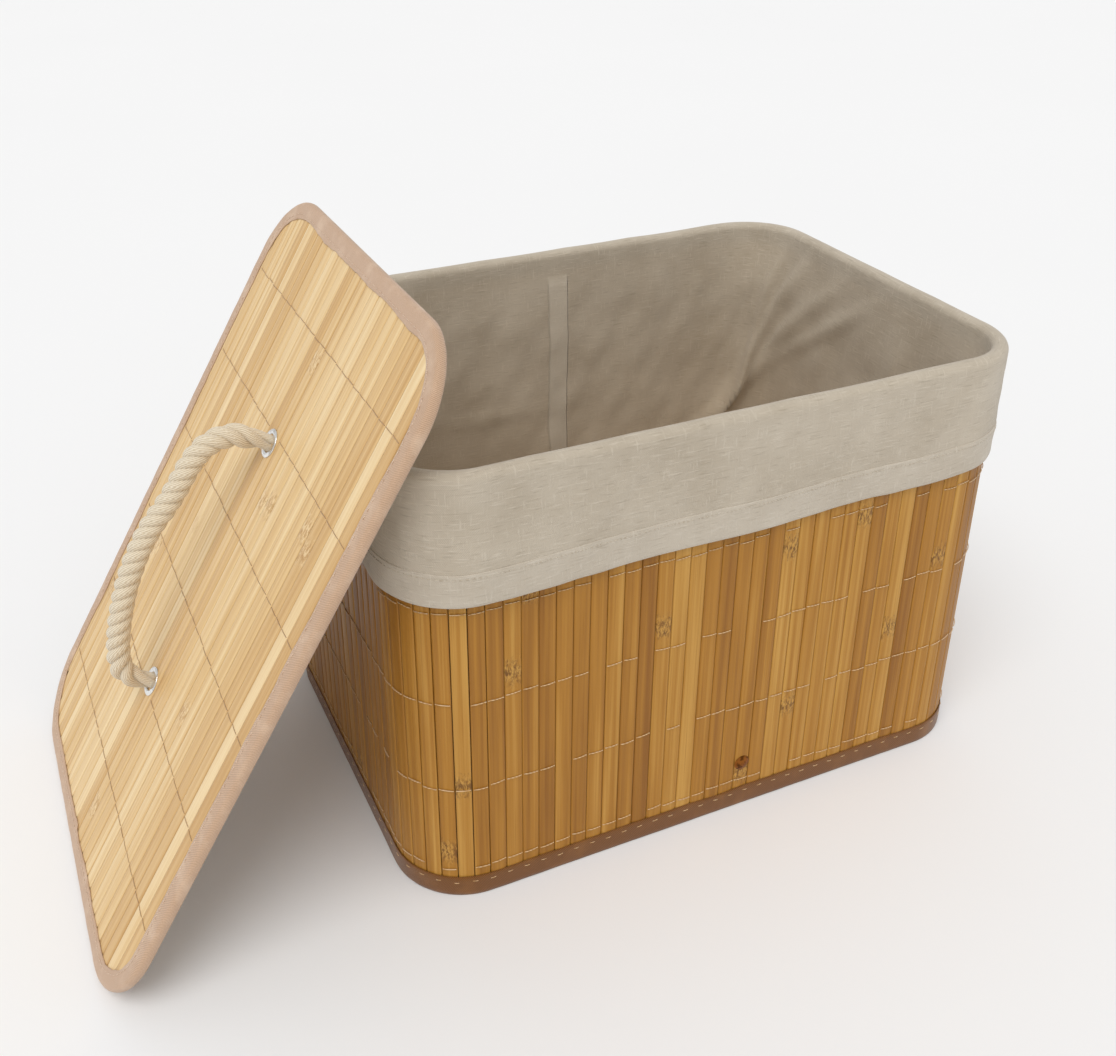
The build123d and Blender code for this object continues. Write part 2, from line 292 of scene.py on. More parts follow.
class ShaderGraph:
    """A material under construction, with short calls for the nodes that the finishes share."""

    def __init__(self, name: str) -> None:
        """Start a material that holds only a shader and an output."""
        self.material = bpy.data.materials.new(name)
        self.material.use_nodes = True
        self.tree = self.material.node_tree
        self.shader = self.tree.nodes["Principled BSDF"]

    def node(self, kind: str, **settings: object) -> bpy.types.Node:
        """Add a node and set its properties."""
        made = self.tree.nodes.new(kind)
        for key, value in settings.items():
            setattr(made, key, value)
        return made

    def join(self, source: bpy.types.NodeSocket | float, target: bpy.types.NodeSocket) -> None:
        """Link a socket, or set a plain value."""
        if isinstance(source, bpy.types.NodeSocket):
            self.tree.links.new(source, target)
        else:
            target.default_value = source

    def set(self, **values: object) -> None:
        """Set constants on the shader's own sockets, with _ for a space in a name."""
        for key, value in values.items():
            self.shader.inputs[key.replace("_", " ")].default_value = value

    def place(self, scale: Colour, turn: Colour = (0.0, 0.0, 0.0),
              chart: bool = False) -> bpy.types.NodeSocket:
        """Coordinates in metres times a scale.

        Args:
            scale: Factors along X, Y and Z.
            turn: Rotation in radians, before which the scale is 1.
            chart: Use the piece's flat map, and not its place in the object.

        Returns:
            The vector socket.
        """
        source = self.node("ShaderNodeTexCoord").outputs["UV" if chart else "Object"]
        if any(turn):
            turned = self.node("ShaderNodeMapping")
            turned.inputs["Rotation"].default_value = turn
            self.join(source, turned.inputs["Vector"])
            source = turned.outputs["Vector"]
        mapping = self.node("ShaderNodeMapping")
        mapping.inputs["Scale"].default_value = scale
        self.join(source, mapping.inputs["Vector"])
        return mapping.outputs["Vector"]

    def add(self, vector: bpy.types.NodeSocket, other: bpy.types.NodeSocket) -> bpy.types.NodeSocket:
        """Add two vectors, or a number to all three parts of one."""
        made = self.node("ShaderNodeVectorMath", operation="ADD")
        self.join(vector, made.inputs[0])
        self.join(other, made.inputs[1])
        return made.outputs[0]

    def split(self, vector: bpy.types.NodeSocket) -> Sequence[bpy.types.NodeSocket]:
        """The X, Y and Z of a vector."""
        made = self.node("ShaderNodeSeparateXYZ")
        self.join(vector, made.inputs[0])
        return made.outputs

    def noise(self, vector: bpy.types.NodeSocket, scale: float = 1.0, detail: float = 3.0,
              roughness: float = 0.55) -> bpy.types.NodeSocket:
        """Smooth noise between 0 and 1."""
        made = self.node("ShaderNodeTexNoise")
        self.join(vector, made.inputs["Vector"])
        made.inputs["Scale"].default_value = scale
        made.inputs["Detail"].default_value = detail
        made.inputs["Roughness"].default_value = roughness
        return made.outputs[0]

    def attribute(self, name: str) -> bpy.types.NodeSocket:
        """A number stored on the piece."""
        return self.node("ShaderNodeAttribute", attribute_name=name).outputs["Fac"]

    def math(self, operation: str, first: object, second: object = 0.0,
             third: object = 0.0) -> bpy.types.NodeSocket:
        """One step of arithmetic."""
        made = self.node("ShaderNodeMath", operation=operation)
        for index, value in enumerate((first, second, third)):
            self.join(value, made.inputs[index])
        return made.outputs[0]

    def band(self, value: bpy.types.NodeSocket, low: float, high: float, start: float = 0.0,
             end: float = 1.0) -> bpy.types.NodeSocket:
        """Carry a range smoothly onto another, clamped."""
        made = self.node("ShaderNodeMapRange", interpolation_type="SMOOTHSTEP")
        for index, item in enumerate((value, low, high, start, end)):
            self.join(item, made.inputs[index])
        return made.outputs[0]

    def ramp(self, factor: bpy.types.NodeSocket, stops: Stops) -> bpy.types.NodeSocket:
        """A colour ramp.

        Args:
            factor: What picks the colour.
            stops: Positions and linear colours.

        Returns:
            The colour socket.
        """
        made = self.node("ShaderNodeValToRGB")
        elements = made.color_ramp.elements
        while len(elements) < len(stops):
            elements.new(0.5)
        for element, (position, colour) in zip(elements, stops):
            element.position = position
            element.color = (*colour, 1.0)
        self.join(factor, made.inputs[0])
        return made.outputs[0]

    def mix(self, factor: object, first: object, second: object, blend: str = "MIX") -> bpy.types.NodeSocket:
        """Mix two colours."""
        made = self.node("ShaderNodeMix", data_type="RGBA", blend_type=blend)
        self.join(factor, made.inputs[0])
        for index, value in ((6, first), (7, second)):
            self.join((*value, 1.0) if isinstance(value, tuple) else value, made.inputs[index])
        return made.outputs[2]

    def relief(self, height: bpy.types.NodeSocket, depth: float, strength: float = 1.0,
               under: bpy.types.NodeSocket | None = None) -> bpy.types.NodeSocket:
        """Bump from a height between 0 and 1, that deep in metres."""
        made = self.node("ShaderNodeBump")
        made.inputs["Strength"].default_value = strength
        made.inputs["Distance"].default_value = depth
        self.join(height, made.inputs["Height"])
        if under is not None:
            self.join(under, made.inputs["Normal"])
        return made.outputs[0]

    def close(self, colour: bpy.types.NodeSocket, roughness: object,
              normal: bpy.types.NodeSocket | None = None) -> bpy.types.Material:
        """Join colour, roughness and bump to the shader and hand over the material."""
        self.join(colour, self.shader.inputs["Base Color"])
        self.join(roughness, self.shader.inputs["Roughness"])
        if normal is not None:
            self.join(normal, self.shader.inputs["Normal"])
        return self.material


def shade(red: int, green: int, blue: int) -> Colour:
    """A linear colour from a paint-chart one of 0 to 255."""
    return tuple((part / 255 / 12.92) if part < 10 else ((part / 255 + 0.055) / 1.055) ** 2.4
                 for part in (red, green, blue))


@dataclass(frozen=True)
class BambooFinish:
    """Split bamboo, satin, each slat a little different from the next.

    Attributes:
        name: The material's name.
        dark: Colour of the darkest slats.
        middle: Colour of most slats.
        light: Colour of the palest slats.
        knot: Colour of the marks at a node.
        length_tilt: Turn about Y that lays the slats' length along Z.
        knots: How strongly nodes show, from 0 to 1.
        variety: How much the slats' tones differ.
    """

    name: str
    dark: Colour
    middle: Colour
    light: Colour
    knot: Colour
    length_tilt: float = 0.0
    knots: float = 1.0
    variety: float = 0.38

    def build(self) -> bpy.types.Material:
        """Make the material."""
        graph = ShaderGraph(self.name)
        turn = (0.0, self.length_tilt, 0.0)
        tone = graph.attribute("tone")
        apart = graph.math("MULTIPLY", tone, 37.0)
        fibre = graph.noise(graph.add(graph.place((1500.0, 1500.0, 14.0), turn), apart), 1.0, 4.0)
        streak = graph.noise(graph.add(graph.place((330.0, 330.0, 5.0), turn), apart), 1.0, 2.0)
        cloud = graph.noise(graph.add(graph.place((30.0, 30.0, 9.0), turn), apart), 1.0, 2.0)
        mixed = graph.math("MULTIPLY_ADD", streak, 0.85, graph.math("MULTIPLY", tone, self.variety))
        centred = graph.math("SUBTRACT", mixed, 0.075 + self.variety / 2)
        mixed = graph.math("MULTIPLY_ADD", cloud, 0.3, centred)
        colour = graph.ramp(mixed, ((0.15, self.dark), (0.5, self.middle), (0.85, self.light)))
        colour = graph.mix(graph.band(fibre, 0.52, 0.75, 0.0, 0.4), colour, self.dark)
        # A node: a short starburst of pale and dark flecks across the slat, at its own height on each.
        height = graph.split(graph.place((1.0, 1.0, 1.0), turn))[2]
        phase = graph.math("MULTIPLY_ADD", height, 1 / 0.31, graph.math("MULTIPLY", tone, 5.3))
        near = graph.math("ABSOLUTE", graph.math("SUBTRACT", graph.math("FRACT", phase), 0.5))
        ragged = graph.noise(graph.add(graph.place((420.0, 420.0, 260.0), turn), apart), 1.0, 4.0, 0.7)
        near = graph.math("MULTIPLY_ADD", graph.math("SUBTRACT", ragged, 0.5), 0.09, near)
        patch = graph.band(near, 0.0, 0.036, self.knots, 0.0)
        chosen = graph.band(graph.math("FRACT", graph.math("MULTIPLY", tone, 17.3)), 0.55, 0.57)
        patch = graph.math("MULTIPLY", patch, chosen)
        flecks = graph.band(graph.noise(graph.place((700.0, 700.0, 260.0), turn), 1.0, 3.0, 0.7), 0.4, 0.6)
        marks = graph.mix(flecks, self.knot, self.light)
        colour = graph.mix(graph.math("MULTIPLY", patch, 0.75), colour, marks)
        roughness = graph.band(fibre, 0.3, 0.8, 0.40, 0.56)
        normal = graph.relief(fibre, 0.00012, 0.6)
        normal = graph.relief(graph.math("ADD", streak, patch), 0.0003, 0.35, normal)
        graph.set(IOR=1.4, Specular_IOR_Level=0.4, Coat_Weight=0.05, Coat_Roughness=0.35)
        return graph.close(colour, roughness, normal)


@dataclass(frozen=True)
class ClothFinish:
    """Plain-woven cloth with slubs: threads a good deal thicker here and there.

    Attributes:
        name: The material's name.
        shadow: Colour between the threads.
        thread: Colour of most threads.
        pale: Colour of the palest threads.
        pitch: Distance between threads, in metres.
        slub: How strongly thick threads show.
        chart: Follow the piece's flat map, and not its place in the object.
        relief_depth: Height of the weave in metres.
        seam: Where on its flat map a double strip begins inside the bag, or 0 for none.
        show_through_and_shade: The bamboo's brown showing through the one layer of cloth inside the bag,
            mixed in more towards its foot as painted shade.
    """

    name: str
    shadow: Colour
    thread: Colour
    pale: Colour
    pitch: float = 0.0009
    slub: float = 1.0
    chart: bool = True
    relief_depth: float = 0.00018
    seam: float = 0.0
    show_through_and_shade: Colour = (0.60, 0.44, 0.27)

    def build(self) -> bpy.types.Material:
        """Make the material."""
        graph = ShaderGraph(self.name)
        rate = 2 * math.pi / self.pitch
        place = graph.place((1.0, 1.0, 1.0), chart=self.chart)
        wander = graph.noise(place, 160.0, 2.0)
        first, second, third = graph.split(place)
        across = second if self.chart else graph.math("ADD", third, second)
        drift = graph.math("MULTIPLY", wander, 3.0)
        warp = graph.math("SINE", graph.math("MULTIPLY_ADD", first, rate, drift))
        weft = graph.math("SINE", graph.math("MULTIPLY_ADD", across, rate, drift))
        weave = graph.math("MULTIPLY_ADD", graph.math("MULTIPLY", warp, weft), 0.5, 0.5)
        along = graph.noise(graph.place((90.0, 900.0, 900.0), chart=self.chart), 1.0, 2.0)
        up = graph.noise(graph.place((900.0, 90.0, 90.0), chart=self.chart), 1.0, 2.0)
        slubs = graph.math("MAXIMUM", graph.band(along, 0.54, 0.70), graph.band(up, 0.57, 0.72))
        thick = graph.math("MULTIPLY", slubs, self.slub)
        cloud = graph.noise(place, 26.0, 3.0)
        colour = graph.ramp(cloud, ((0.25, self.thread), (1.0, self.pale)))
        colour = graph.mix(graph.band(weave, 0.0, 0.6, 0.42, 0.0), colour, self.shadow)
        colour = graph.mix(graph.math("MULTIPLY", thick, 0.5), colour, self.pale)
        dark_slub = graph.band(graph.noise(graph.place((60.0, 700.0, 700.0), chart=self.chart), 1.4, 2.0),
                               0.56, 0.72, 0.0, 0.36 * self.slub)
        colour = graph.mix(dark_slub, colour, self.shadow)
        height = graph.math("MULTIPLY_ADD", thick, 0.6, weave)
        normal = graph.relief(cloud, 0.0006, 0.3)
        if self.seam:
            # Inside the bag the bamboo showing through the cloth is mixed in, and painted shade makes it
            # stronger deeper down towards the bag's foot.
            depth = graph.band(second, 0.09, 0.30, 0.12, 0.55)
            show_through_and_shade_mix = graph.math("MULTIPLY", graph.band(second, 0.088, 0.096), depth)
            colour = graph.mix(graph.math("MULTIPLY", show_through_and_shade_mix, 0.8), colour, self.show_through_and_shade)
            wavy = graph.math("MULTIPLY_ADD", graph.noise(place, 18.0, 2.0), 0.004, first)
            strip = graph.math("MULTIPLY", graph.band(wavy, self.seam, self.seam + 0.0007),
                               graph.band(wavy, self.seam + 0.0145, self.seam + 0.017, 1.0, 0.0))
            strip = graph.math("MULTIPLY", strip, graph.band(second, 0.095, 0.105))
            normal = graph.relief(strip, 0.0016, 1.0, normal)
            colour = graph.mix(graph.math("MULTIPLY", strip, 0.5), colour, self.pale)
        normal = graph.relief(height, self.relief_depth, 0.75, normal)
        graph.set(Sheen_Weight=0.25, Sheen_Roughness=0.6, Specular_IOR_Level=0.25)
        return graph.close(colour, 0.9, normal)


@dataclass(frozen=True)
class TapeFinish:
    """Woven binding tape: diagonal twill ribs, worn paler in soft patches.

    Attributes:
        name: The material's name.
        dark: Colour between the ribs, painted shade in the weave's grooves.
        rib: Colour of the ribs.
        worn: Colour where it is rubbed.
        nap: How much loose fibre stands on it, from 0 to 1.
        chart: Follow the piece's flat map, and not its place in the object.
    """

    name: str
    dark: Colour
    rib: Colour
    worn: Colour
    nap: float = 0.3
    chart: bool = True

    def build(self) -> bpy.types.Material:
        """Make the material."""
        graph = ShaderGraph(self.name)
        place = graph.place((1.0, 1.0, 1.0), chart=self.chart)
        along, across, _ = graph.split(place)
        wander = graph.noise(place, 240.0, 2.0)
        slope = graph.math("MULTIPLY_ADD", across, 0.8, along)
        rib = graph.math("SINE", graph.math("MULTIPLY_ADD", slope, 2 * math.pi / 0.0011,
                                            graph.math("MULTIPLY", wander, 4.0)))
        rib = graph.math("MULTIPLY_ADD", rib, 0.5, 0.5)
        fuzz = graph.noise(place, 1900.0, 3.0, 0.7)
        cloud = graph.noise(place, 55.0, 3.0)
        # Painted shade: the tape is darker between its ribs, down in the weave's grooves.
        colour = graph.mix(graph.band(rib, 0.1, 0.7), self.dark, self.rib)
        colour = graph.mix(graph.band(cloud, 0.45, 0.8, 0.0, 0.5), colour, self.worn)
        colour = graph.mix(graph.band(fuzz, 0.5, 0.75, 0.0, 0.55 * self.nap), colour, self.worn)
        height = graph.math("MULTIPLY_ADD", fuzz, self.nap, graph.math("MULTIPLY", rib, 0.6))
        graph.set(Sheen_Weight=0.3, Sheen_Roughness=0.5, Specular_IOR_Level=0.25)
        return graph.close(colour, 0.88, graph.relief(height, 0.00022, 0.8))


@dataclass(frozen=True)
class FibreFinish:
    """Twisted cotton: fine yarns running along each strand.

    Attributes:
        name: The material's name.
        deep: Colour down between the yarns, painted shade in the grooves.
        yarn: Colour of the yarns.
        bright: Colour of the yarns' tops, a painted highlight.
        yarns: Yarns to a metre across the strand.
        lay: How far the yarns slant, across to along.
        chart: Follow the piece's flat map, and not its place in the object.
    """

    name: str
    deep: Colour
    yarn: Colour
    bright: Colour
    yarns: float = 900.0
    lay: float = 0.5
    chart: bool = True

    def build(self) -> bpy.types.Material:
        """Make the material."""
        graph = ShaderGraph(self.name)
        place = graph.place((1.0, 1.0, 1.0), chart=self.chart)
        along, across, _ = graph.split(place)
        wander = graph.noise(place, 200.0, 3.0)
        slope = graph.math("MULTIPLY_ADD", along, self.lay, across)
        line = graph.math("SINE", graph.math("MULTIPLY_ADD", slope, 2 * math.pi * self.yarns,
                                             graph.math("MULTIPLY", wander, 5.0)))
        line = graph.math("MULTIPLY_ADD", line, 0.5, 0.5)
        fuzz = graph.noise(graph.place((1.0, 1.0, 1.0)), 1500.0, 3.0, 0.7)
        # Painted shade and highlight: the colour follows the yarns' relief, dark down between them and bright
        # on their tops.
        colour = graph.ramp(graph.math("MULTIPLY_ADD", fuzz, 0.4, graph.math("MULTIPLY", line, 0.6)),
                            ((0.05, self.deep), (0.35, self.yarn), (0.9, self.bright)))
        height = graph.math("MULTIPLY_ADD", fuzz, 0.5, line)
        graph.set(Sheen_Weight=0.4, Sheen_Roughness=0.5, Specular_IOR_Level=0.25)
        return graph.close(colour, 0.92, graph.relief(height, 0.00025, 0.8))


@dataclass(frozen=True)
class MetalFinish:
    """Small pressed or drawn metal with rubbed patches.

    Attributes:
        name: The material's name.
        bright: Colour where it is polished by use.
        dull: Colour where it has tarnished.
        polish: Roughness of the bright patches.
        tarnish: Roughness of the dull ones.
    """

    name: str
    bright: Colour
    dull: Colour
    polish: float
    tarnish: float

    def build(self) -> bpy.types.Material:
        """Make the material."""
        graph = ShaderGraph(self.name)
        patches = graph.band(graph.noise(graph.place((1.0, 1.0, 1.0)), 420.0, 4.0, 0.6), 0.4, 0.65)
        fine = graph.noise(graph.place((1.0, 1.0, 1.0)), 5200.0, 2.0)
        colour = graph.mix(patches, self.bright, self.dull)
        graph.set(Metallic=1.0)
        return graph.close(colour, graph.band(patches, 0.0, 1.0, self.polish, self.tarnish),
                           graph.relief(fine, 0.00004, 0.5))


@dataclass(frozen=True)
class BoardFinish:
    """Pressed fibreboard: fine mottled fibres.

    Attributes:
        name: The material's name.
        dark: Colour of the dark fibres.
        pale: Colour of the pale ones.
    """

    name: str
    dark: Colour
    pale: Colour

    def build(self) -> bpy.types.Material:
        """Make the material."""
        graph = ShaderGraph(self.name)
        specks = graph.noise(graph.place((900.0, 420.0, 900.0)), 1.0, 5.0, 0.7)
        cloud = graph.noise(graph.place((18.0, 18.0, 18.0)), 1.0, 3.0)
        colour = graph.ramp(graph.math("MULTIPLY_ADD", cloud, 0.35, graph.math("MULTIPLY", specks, 0.65)),
                            ((0.3, self.dark), (0.7, self.pale)))
        return graph.close(colour, 0.78, graph.relief(specks, 0.0001, 0.6))


# ---------------------------------------------------------------- repeated pieces


@dataclass(frozen=True)
class Station:
    """Where one repeated piece goes.

    Attributes:
        point: Its place, in metres.
        along: Unit direction of its own X.
        out: Unit direction of its own Z, at right angles to along.
        size: Factors on its own X, Y and Z.
    """

    point: Vector
    along: Vector
    out: Vector
    size: tuple[float, float, float] = (1.0, 1.0, 1.0)


class Piece(Enum):
    """What a row of stations carries."""

    SLAT = "slat"
    STITCH = "stitch"


class Row:
    """Copies of one small piece on many stations, made by a node tree and turned into one plain mesh."""

    def __init__(self, kind: Piece, seed: int, sizes: dict[str, float], uneven: float) -> None:
        """Keep what the tree needs.

        Args:
            kind: Which piece is repeated.
            seed: Picks the random tones and unevenness.
            sizes: The tree's named sizes, in metres.
            uneven: Share by which the pieces differ in width.
        """
        self.kind = kind
        self.seed = seed
        self.sizes = sizes
        self.uneven = uneven

    def _slat(self, tree: bpy.types.NodeTree, inlet: bpy.types.Node) -> bpy.types.NodeSocket:
        """A rounded bar one metre long on its own Z, Width by Thickness, scaled to length on its station."""
        section = tree.nodes.new("GeometryNodeCurvePrimitiveQuadrilateral")
        tree.links.new(inlet.outputs["Width"], section.inputs["Width"])
        tree.links.new(inlet.outputs["Thickness"], section.inputs["Height"])
        rounding = tree.nodes.new("GeometryNodeFilletCurve")
        rounding.mode = "POLY"
        rounding.inputs["Count"].default_value = 2
        tree.links.new(section.outputs[0], rounding.inputs["Curve"])
        tree.links.new(inlet.outputs["Edge"], rounding.inputs["Radius"])
        line = tree.nodes.new("GeometryNodeCurvePrimitiveLine")
        line.inputs["End"].default_value = (0.0, 0.0, 1.0)
        return self._sweep(tree, line.outputs[0], rounding.outputs[0])

    def _stitch(self, tree: bpy.types.NodeTree, inlet: bpy.types.Node) -> bpy.types.NodeSocket:
        """A thread that rises by Rise over Span along its own X, and dips in at both ends."""
        ends = []
        for hand in (-0.5, 0.5):
            reach = tree.nodes.new("ShaderNodeMath")
            reach.operation = "MULTIPLY"
            tree.links.new(inlet.outputs["Span"], reach.inputs[0])
            reach.inputs[1].default_value = hand
            spot = tree.nodes.new("ShaderNodeCombineXYZ")
            tree.links.new(reach.outputs[0], spot.inputs["X"])
            ends.append(spot.outputs[0])
        top = tree.nodes.new("ShaderNodeCombineXYZ")
        tree.links.new(inlet.outputs["Rise"], top.inputs["Z"])
        arch = tree.nodes.new("GeometryNodeCurveQuadraticBezier")
        arch.inputs["Resolution"].default_value = 5
        for socket, name in ((ends[0], "Start"), (top.outputs[0], "Middle"), (ends[1], "End")):
            tree.links.new(socket, arch.inputs[name])
        section = tree.nodes.new("GeometryNodeCurvePrimitiveCircle")
        section.inputs["Resolution"].default_value = 5
        tree.links.new(inlet.outputs["Thread"], section.inputs["Radius"])
        return self._sweep(tree, arch.outputs[0], section.outputs[0])

    @staticmethod
    def _sweep(tree: bpy.types.NodeTree, line: bpy.types.NodeSocket,
               section: bpy.types.NodeSocket) -> bpy.types.NodeSocket:
        """Carry a section along a line, with its ends closed."""
        sweep = tree.nodes.new("GeometryNodeCurveToMesh")
        sweep.inputs["Fill Caps"].default_value = True
        tree.links.new(line, sweep.inputs["Curve"])
        tree.links.new(section, sweep.inputs["Profile Curve"])
        return sweep.outputs[0]

    @staticmethod
    def _random(tree: bpy.types.NodeTree, inlet: bpy.types.Node, low: float, high: float,
                salt: int) -> bpy.types.NodeSocket:
        """A random number for each station, from the tree's Seed and its own salt."""
        shift = tree.nodes.new("ShaderNodeMath")
        tree.links.new(inlet.outputs["Seed"], shift.inputs[0])
        shift.inputs[1].default_value = salt
        chance = tree.nodes.new("FunctionNodeRandomValue")
        chance.inputs[2].default_value = low
        chance.inputs[3].default_value = high
        tree.links.new(shift.outputs[0], chance.inputs[8])
        return chance.outputs[1]

    def tree(self, name: str, material: bpy.types.Material) -> bpy.types.NodeTree:
        """Build the node tree that puts a piece on every station."""
        tree = bpy.data.node_groups.new(f"{name}_row", "GeometryNodeTree")
        face = tree.interface
        face.new_socket("Geometry", in_out="INPUT", socket_type="NodeSocketGeometry")
        for size in self.sizes:
            face.new_socket(size, in_out="INPUT", socket_type="NodeSocketFloat")
        face.new_socket("Seed", in_out="INPUT", socket_type="NodeSocketInt")
        face.new_socket("Geometry", in_out="OUTPUT", socket_type="NodeSocketGeometry")
        inlet = tree.nodes.new("NodeGroupInput")
        outlet = tree.nodes.new("NodeGroupOutput")
        piece = self._slat(tree, inlet) if self.kind is Piece.SLAT else self._stitch(tree, inlet)
        turn = self._stored(tree, "turn")
        size = self._stored(tree, "size")
        spin = tree.nodes.new("FunctionNodeEulerToRotation")
        tree.links.new(turn, spin.inputs[0])
        vary = tree.nodes.new("ShaderNodeCombineXYZ")
        tree.links.new(self._random(tree, inlet, 1 - self.uneven, 1.0, 1), vary.inputs["X"])
        vary.inputs["Y"].default_value = 1.0
        vary.inputs["Z"].default_value = 1.0
        scaled = tree.nodes.new("ShaderNodeVectorMath")
        scaled.operation = "MULTIPLY"
        tree.links.new(size, scaled.inputs[0])
        tree.links.new(vary.outputs[0], scaled.inputs[1])
        spread = tree.nodes.new("GeometryNodeInstanceOnPoints")
        tree.links.new(inlet.outputs["Geometry"], spread.inputs["Points"])
        tree.links.new(piece, spread.inputs["Instance"])
        tree.links.new(spin.outputs[0], spread.inputs["Rotation"])
        tree.links.new(scaled.outputs[0], spread.inputs["Scale"])
        tone = tree.nodes.new("GeometryNodeStoreNamedAttribute")
        tone.data_type = "FLOAT"
        tone.domain = "INSTANCE"
        tone.inputs["Name"].default_value = "tone"
        tree.links.new(spread.outputs[0], tone.inputs["Geometry"])
        tree.links.new(self._random(tree, inlet, 0.0, 1.0, 2), tone.inputs["Value"])
        real = tree.nodes.new("GeometryNodeRealizeInstances")
        tree.links.new(tone.outputs[0], real.inputs["Geometry"])
        paint = tree.nodes.new("GeometryNodeSetMaterial")
        paint.inputs["Material"].default_value = material
        tree.links.new(real.outputs[0], paint.inputs["Geometry"])
        tree.links.new(paint.outputs[0], outlet.inputs["Geometry"])
        return tree

    @staticmethod
    def _stored(tree: bpy.types.NodeTree, name: str) -> bpy.types.NodeSocket:
        """A vector stored on the stations."""
        made = tree.nodes.new("GeometryNodeInputNamedAttribute")
        made.data_type = "FLOAT_VECTOR"
        made.inputs["Name"].default_value = name
        return made.outputs[0]

    def build(self, name: str, stations: Sequence[Station], material: bpy.types.Material) -> bpy.types.Object:
        """Make the row.

        Args:
            name: The piece's name.
            stations: Where the copies go.
            material: Their finish.

        Returns:
            One object with every copy in its mesh.
        """
        mesh = bpy.data.meshes.new(f"{name}_stations")
        mesh.from_pydata([station.point for station in stations], [], [])
        turns = [Matrix((s.along, s.out.cross(s.along), s.out)).transposed().to_euler() for s in stations]
        for attribute, values in (("turn", turns), ("size", [s.size for s in stations])):
            layer = mesh.attributes.new(attribute, "FLOAT_VECTOR", "POINT")
            layer.data.foreach_set("vector", np.array(values, np.float32).ravel())
        carrier = bpy.data.objects.new(f"{name}_carrier", mesh)
        bpy.context.scene.collection.objects.link(carrier)
        modifier = carrier.modifiers.new("row", "NODES")
        modifier.node_group = self.tree(name, material)
        known = {item.name: item.identifier for item in modifier.node_group.interface.items_tree
                 if item.in_out == "INPUT"}
        for size, value in self.sizes.items():
            modifier[known[size]] = value
        modifier[known["Seed"]] = self.seed
        graph = bpy.context.evaluated_depsgraph_get()
        made = bpy.data.meshes.new_from_object(carrier.evaluated_get(graph), preserve_all_data_layers=True,
                                               depsgraph=graph)
        carrier.modifiers.clear()
        bpy.data.objects.remove(carrier)
        made.name = name
        return finish_object(name, made, material)


def slat_row(seed: int, width: float, thickness: float) -> Row:
    """A row of slats with softened edges."""
    return Row(Piece.SLAT, seed, {"Width": width, "Thickness": thickness, "Edge": 0.32 * MM}, 0.018)


def stitch_row(seed: int, span: float, rise: float, thread: float) -> Row:
    """A row of stitches of one span, rise and thread radius."""
    return Row(Piece.STITCH, seed, {"Span": span, "Rise": rise, "Thread": thread}, 0.12)


UP = Vector((0.0, 0.0, 1.0))


# ---------------------------------------------------------------- the hamper's sub-assemblies


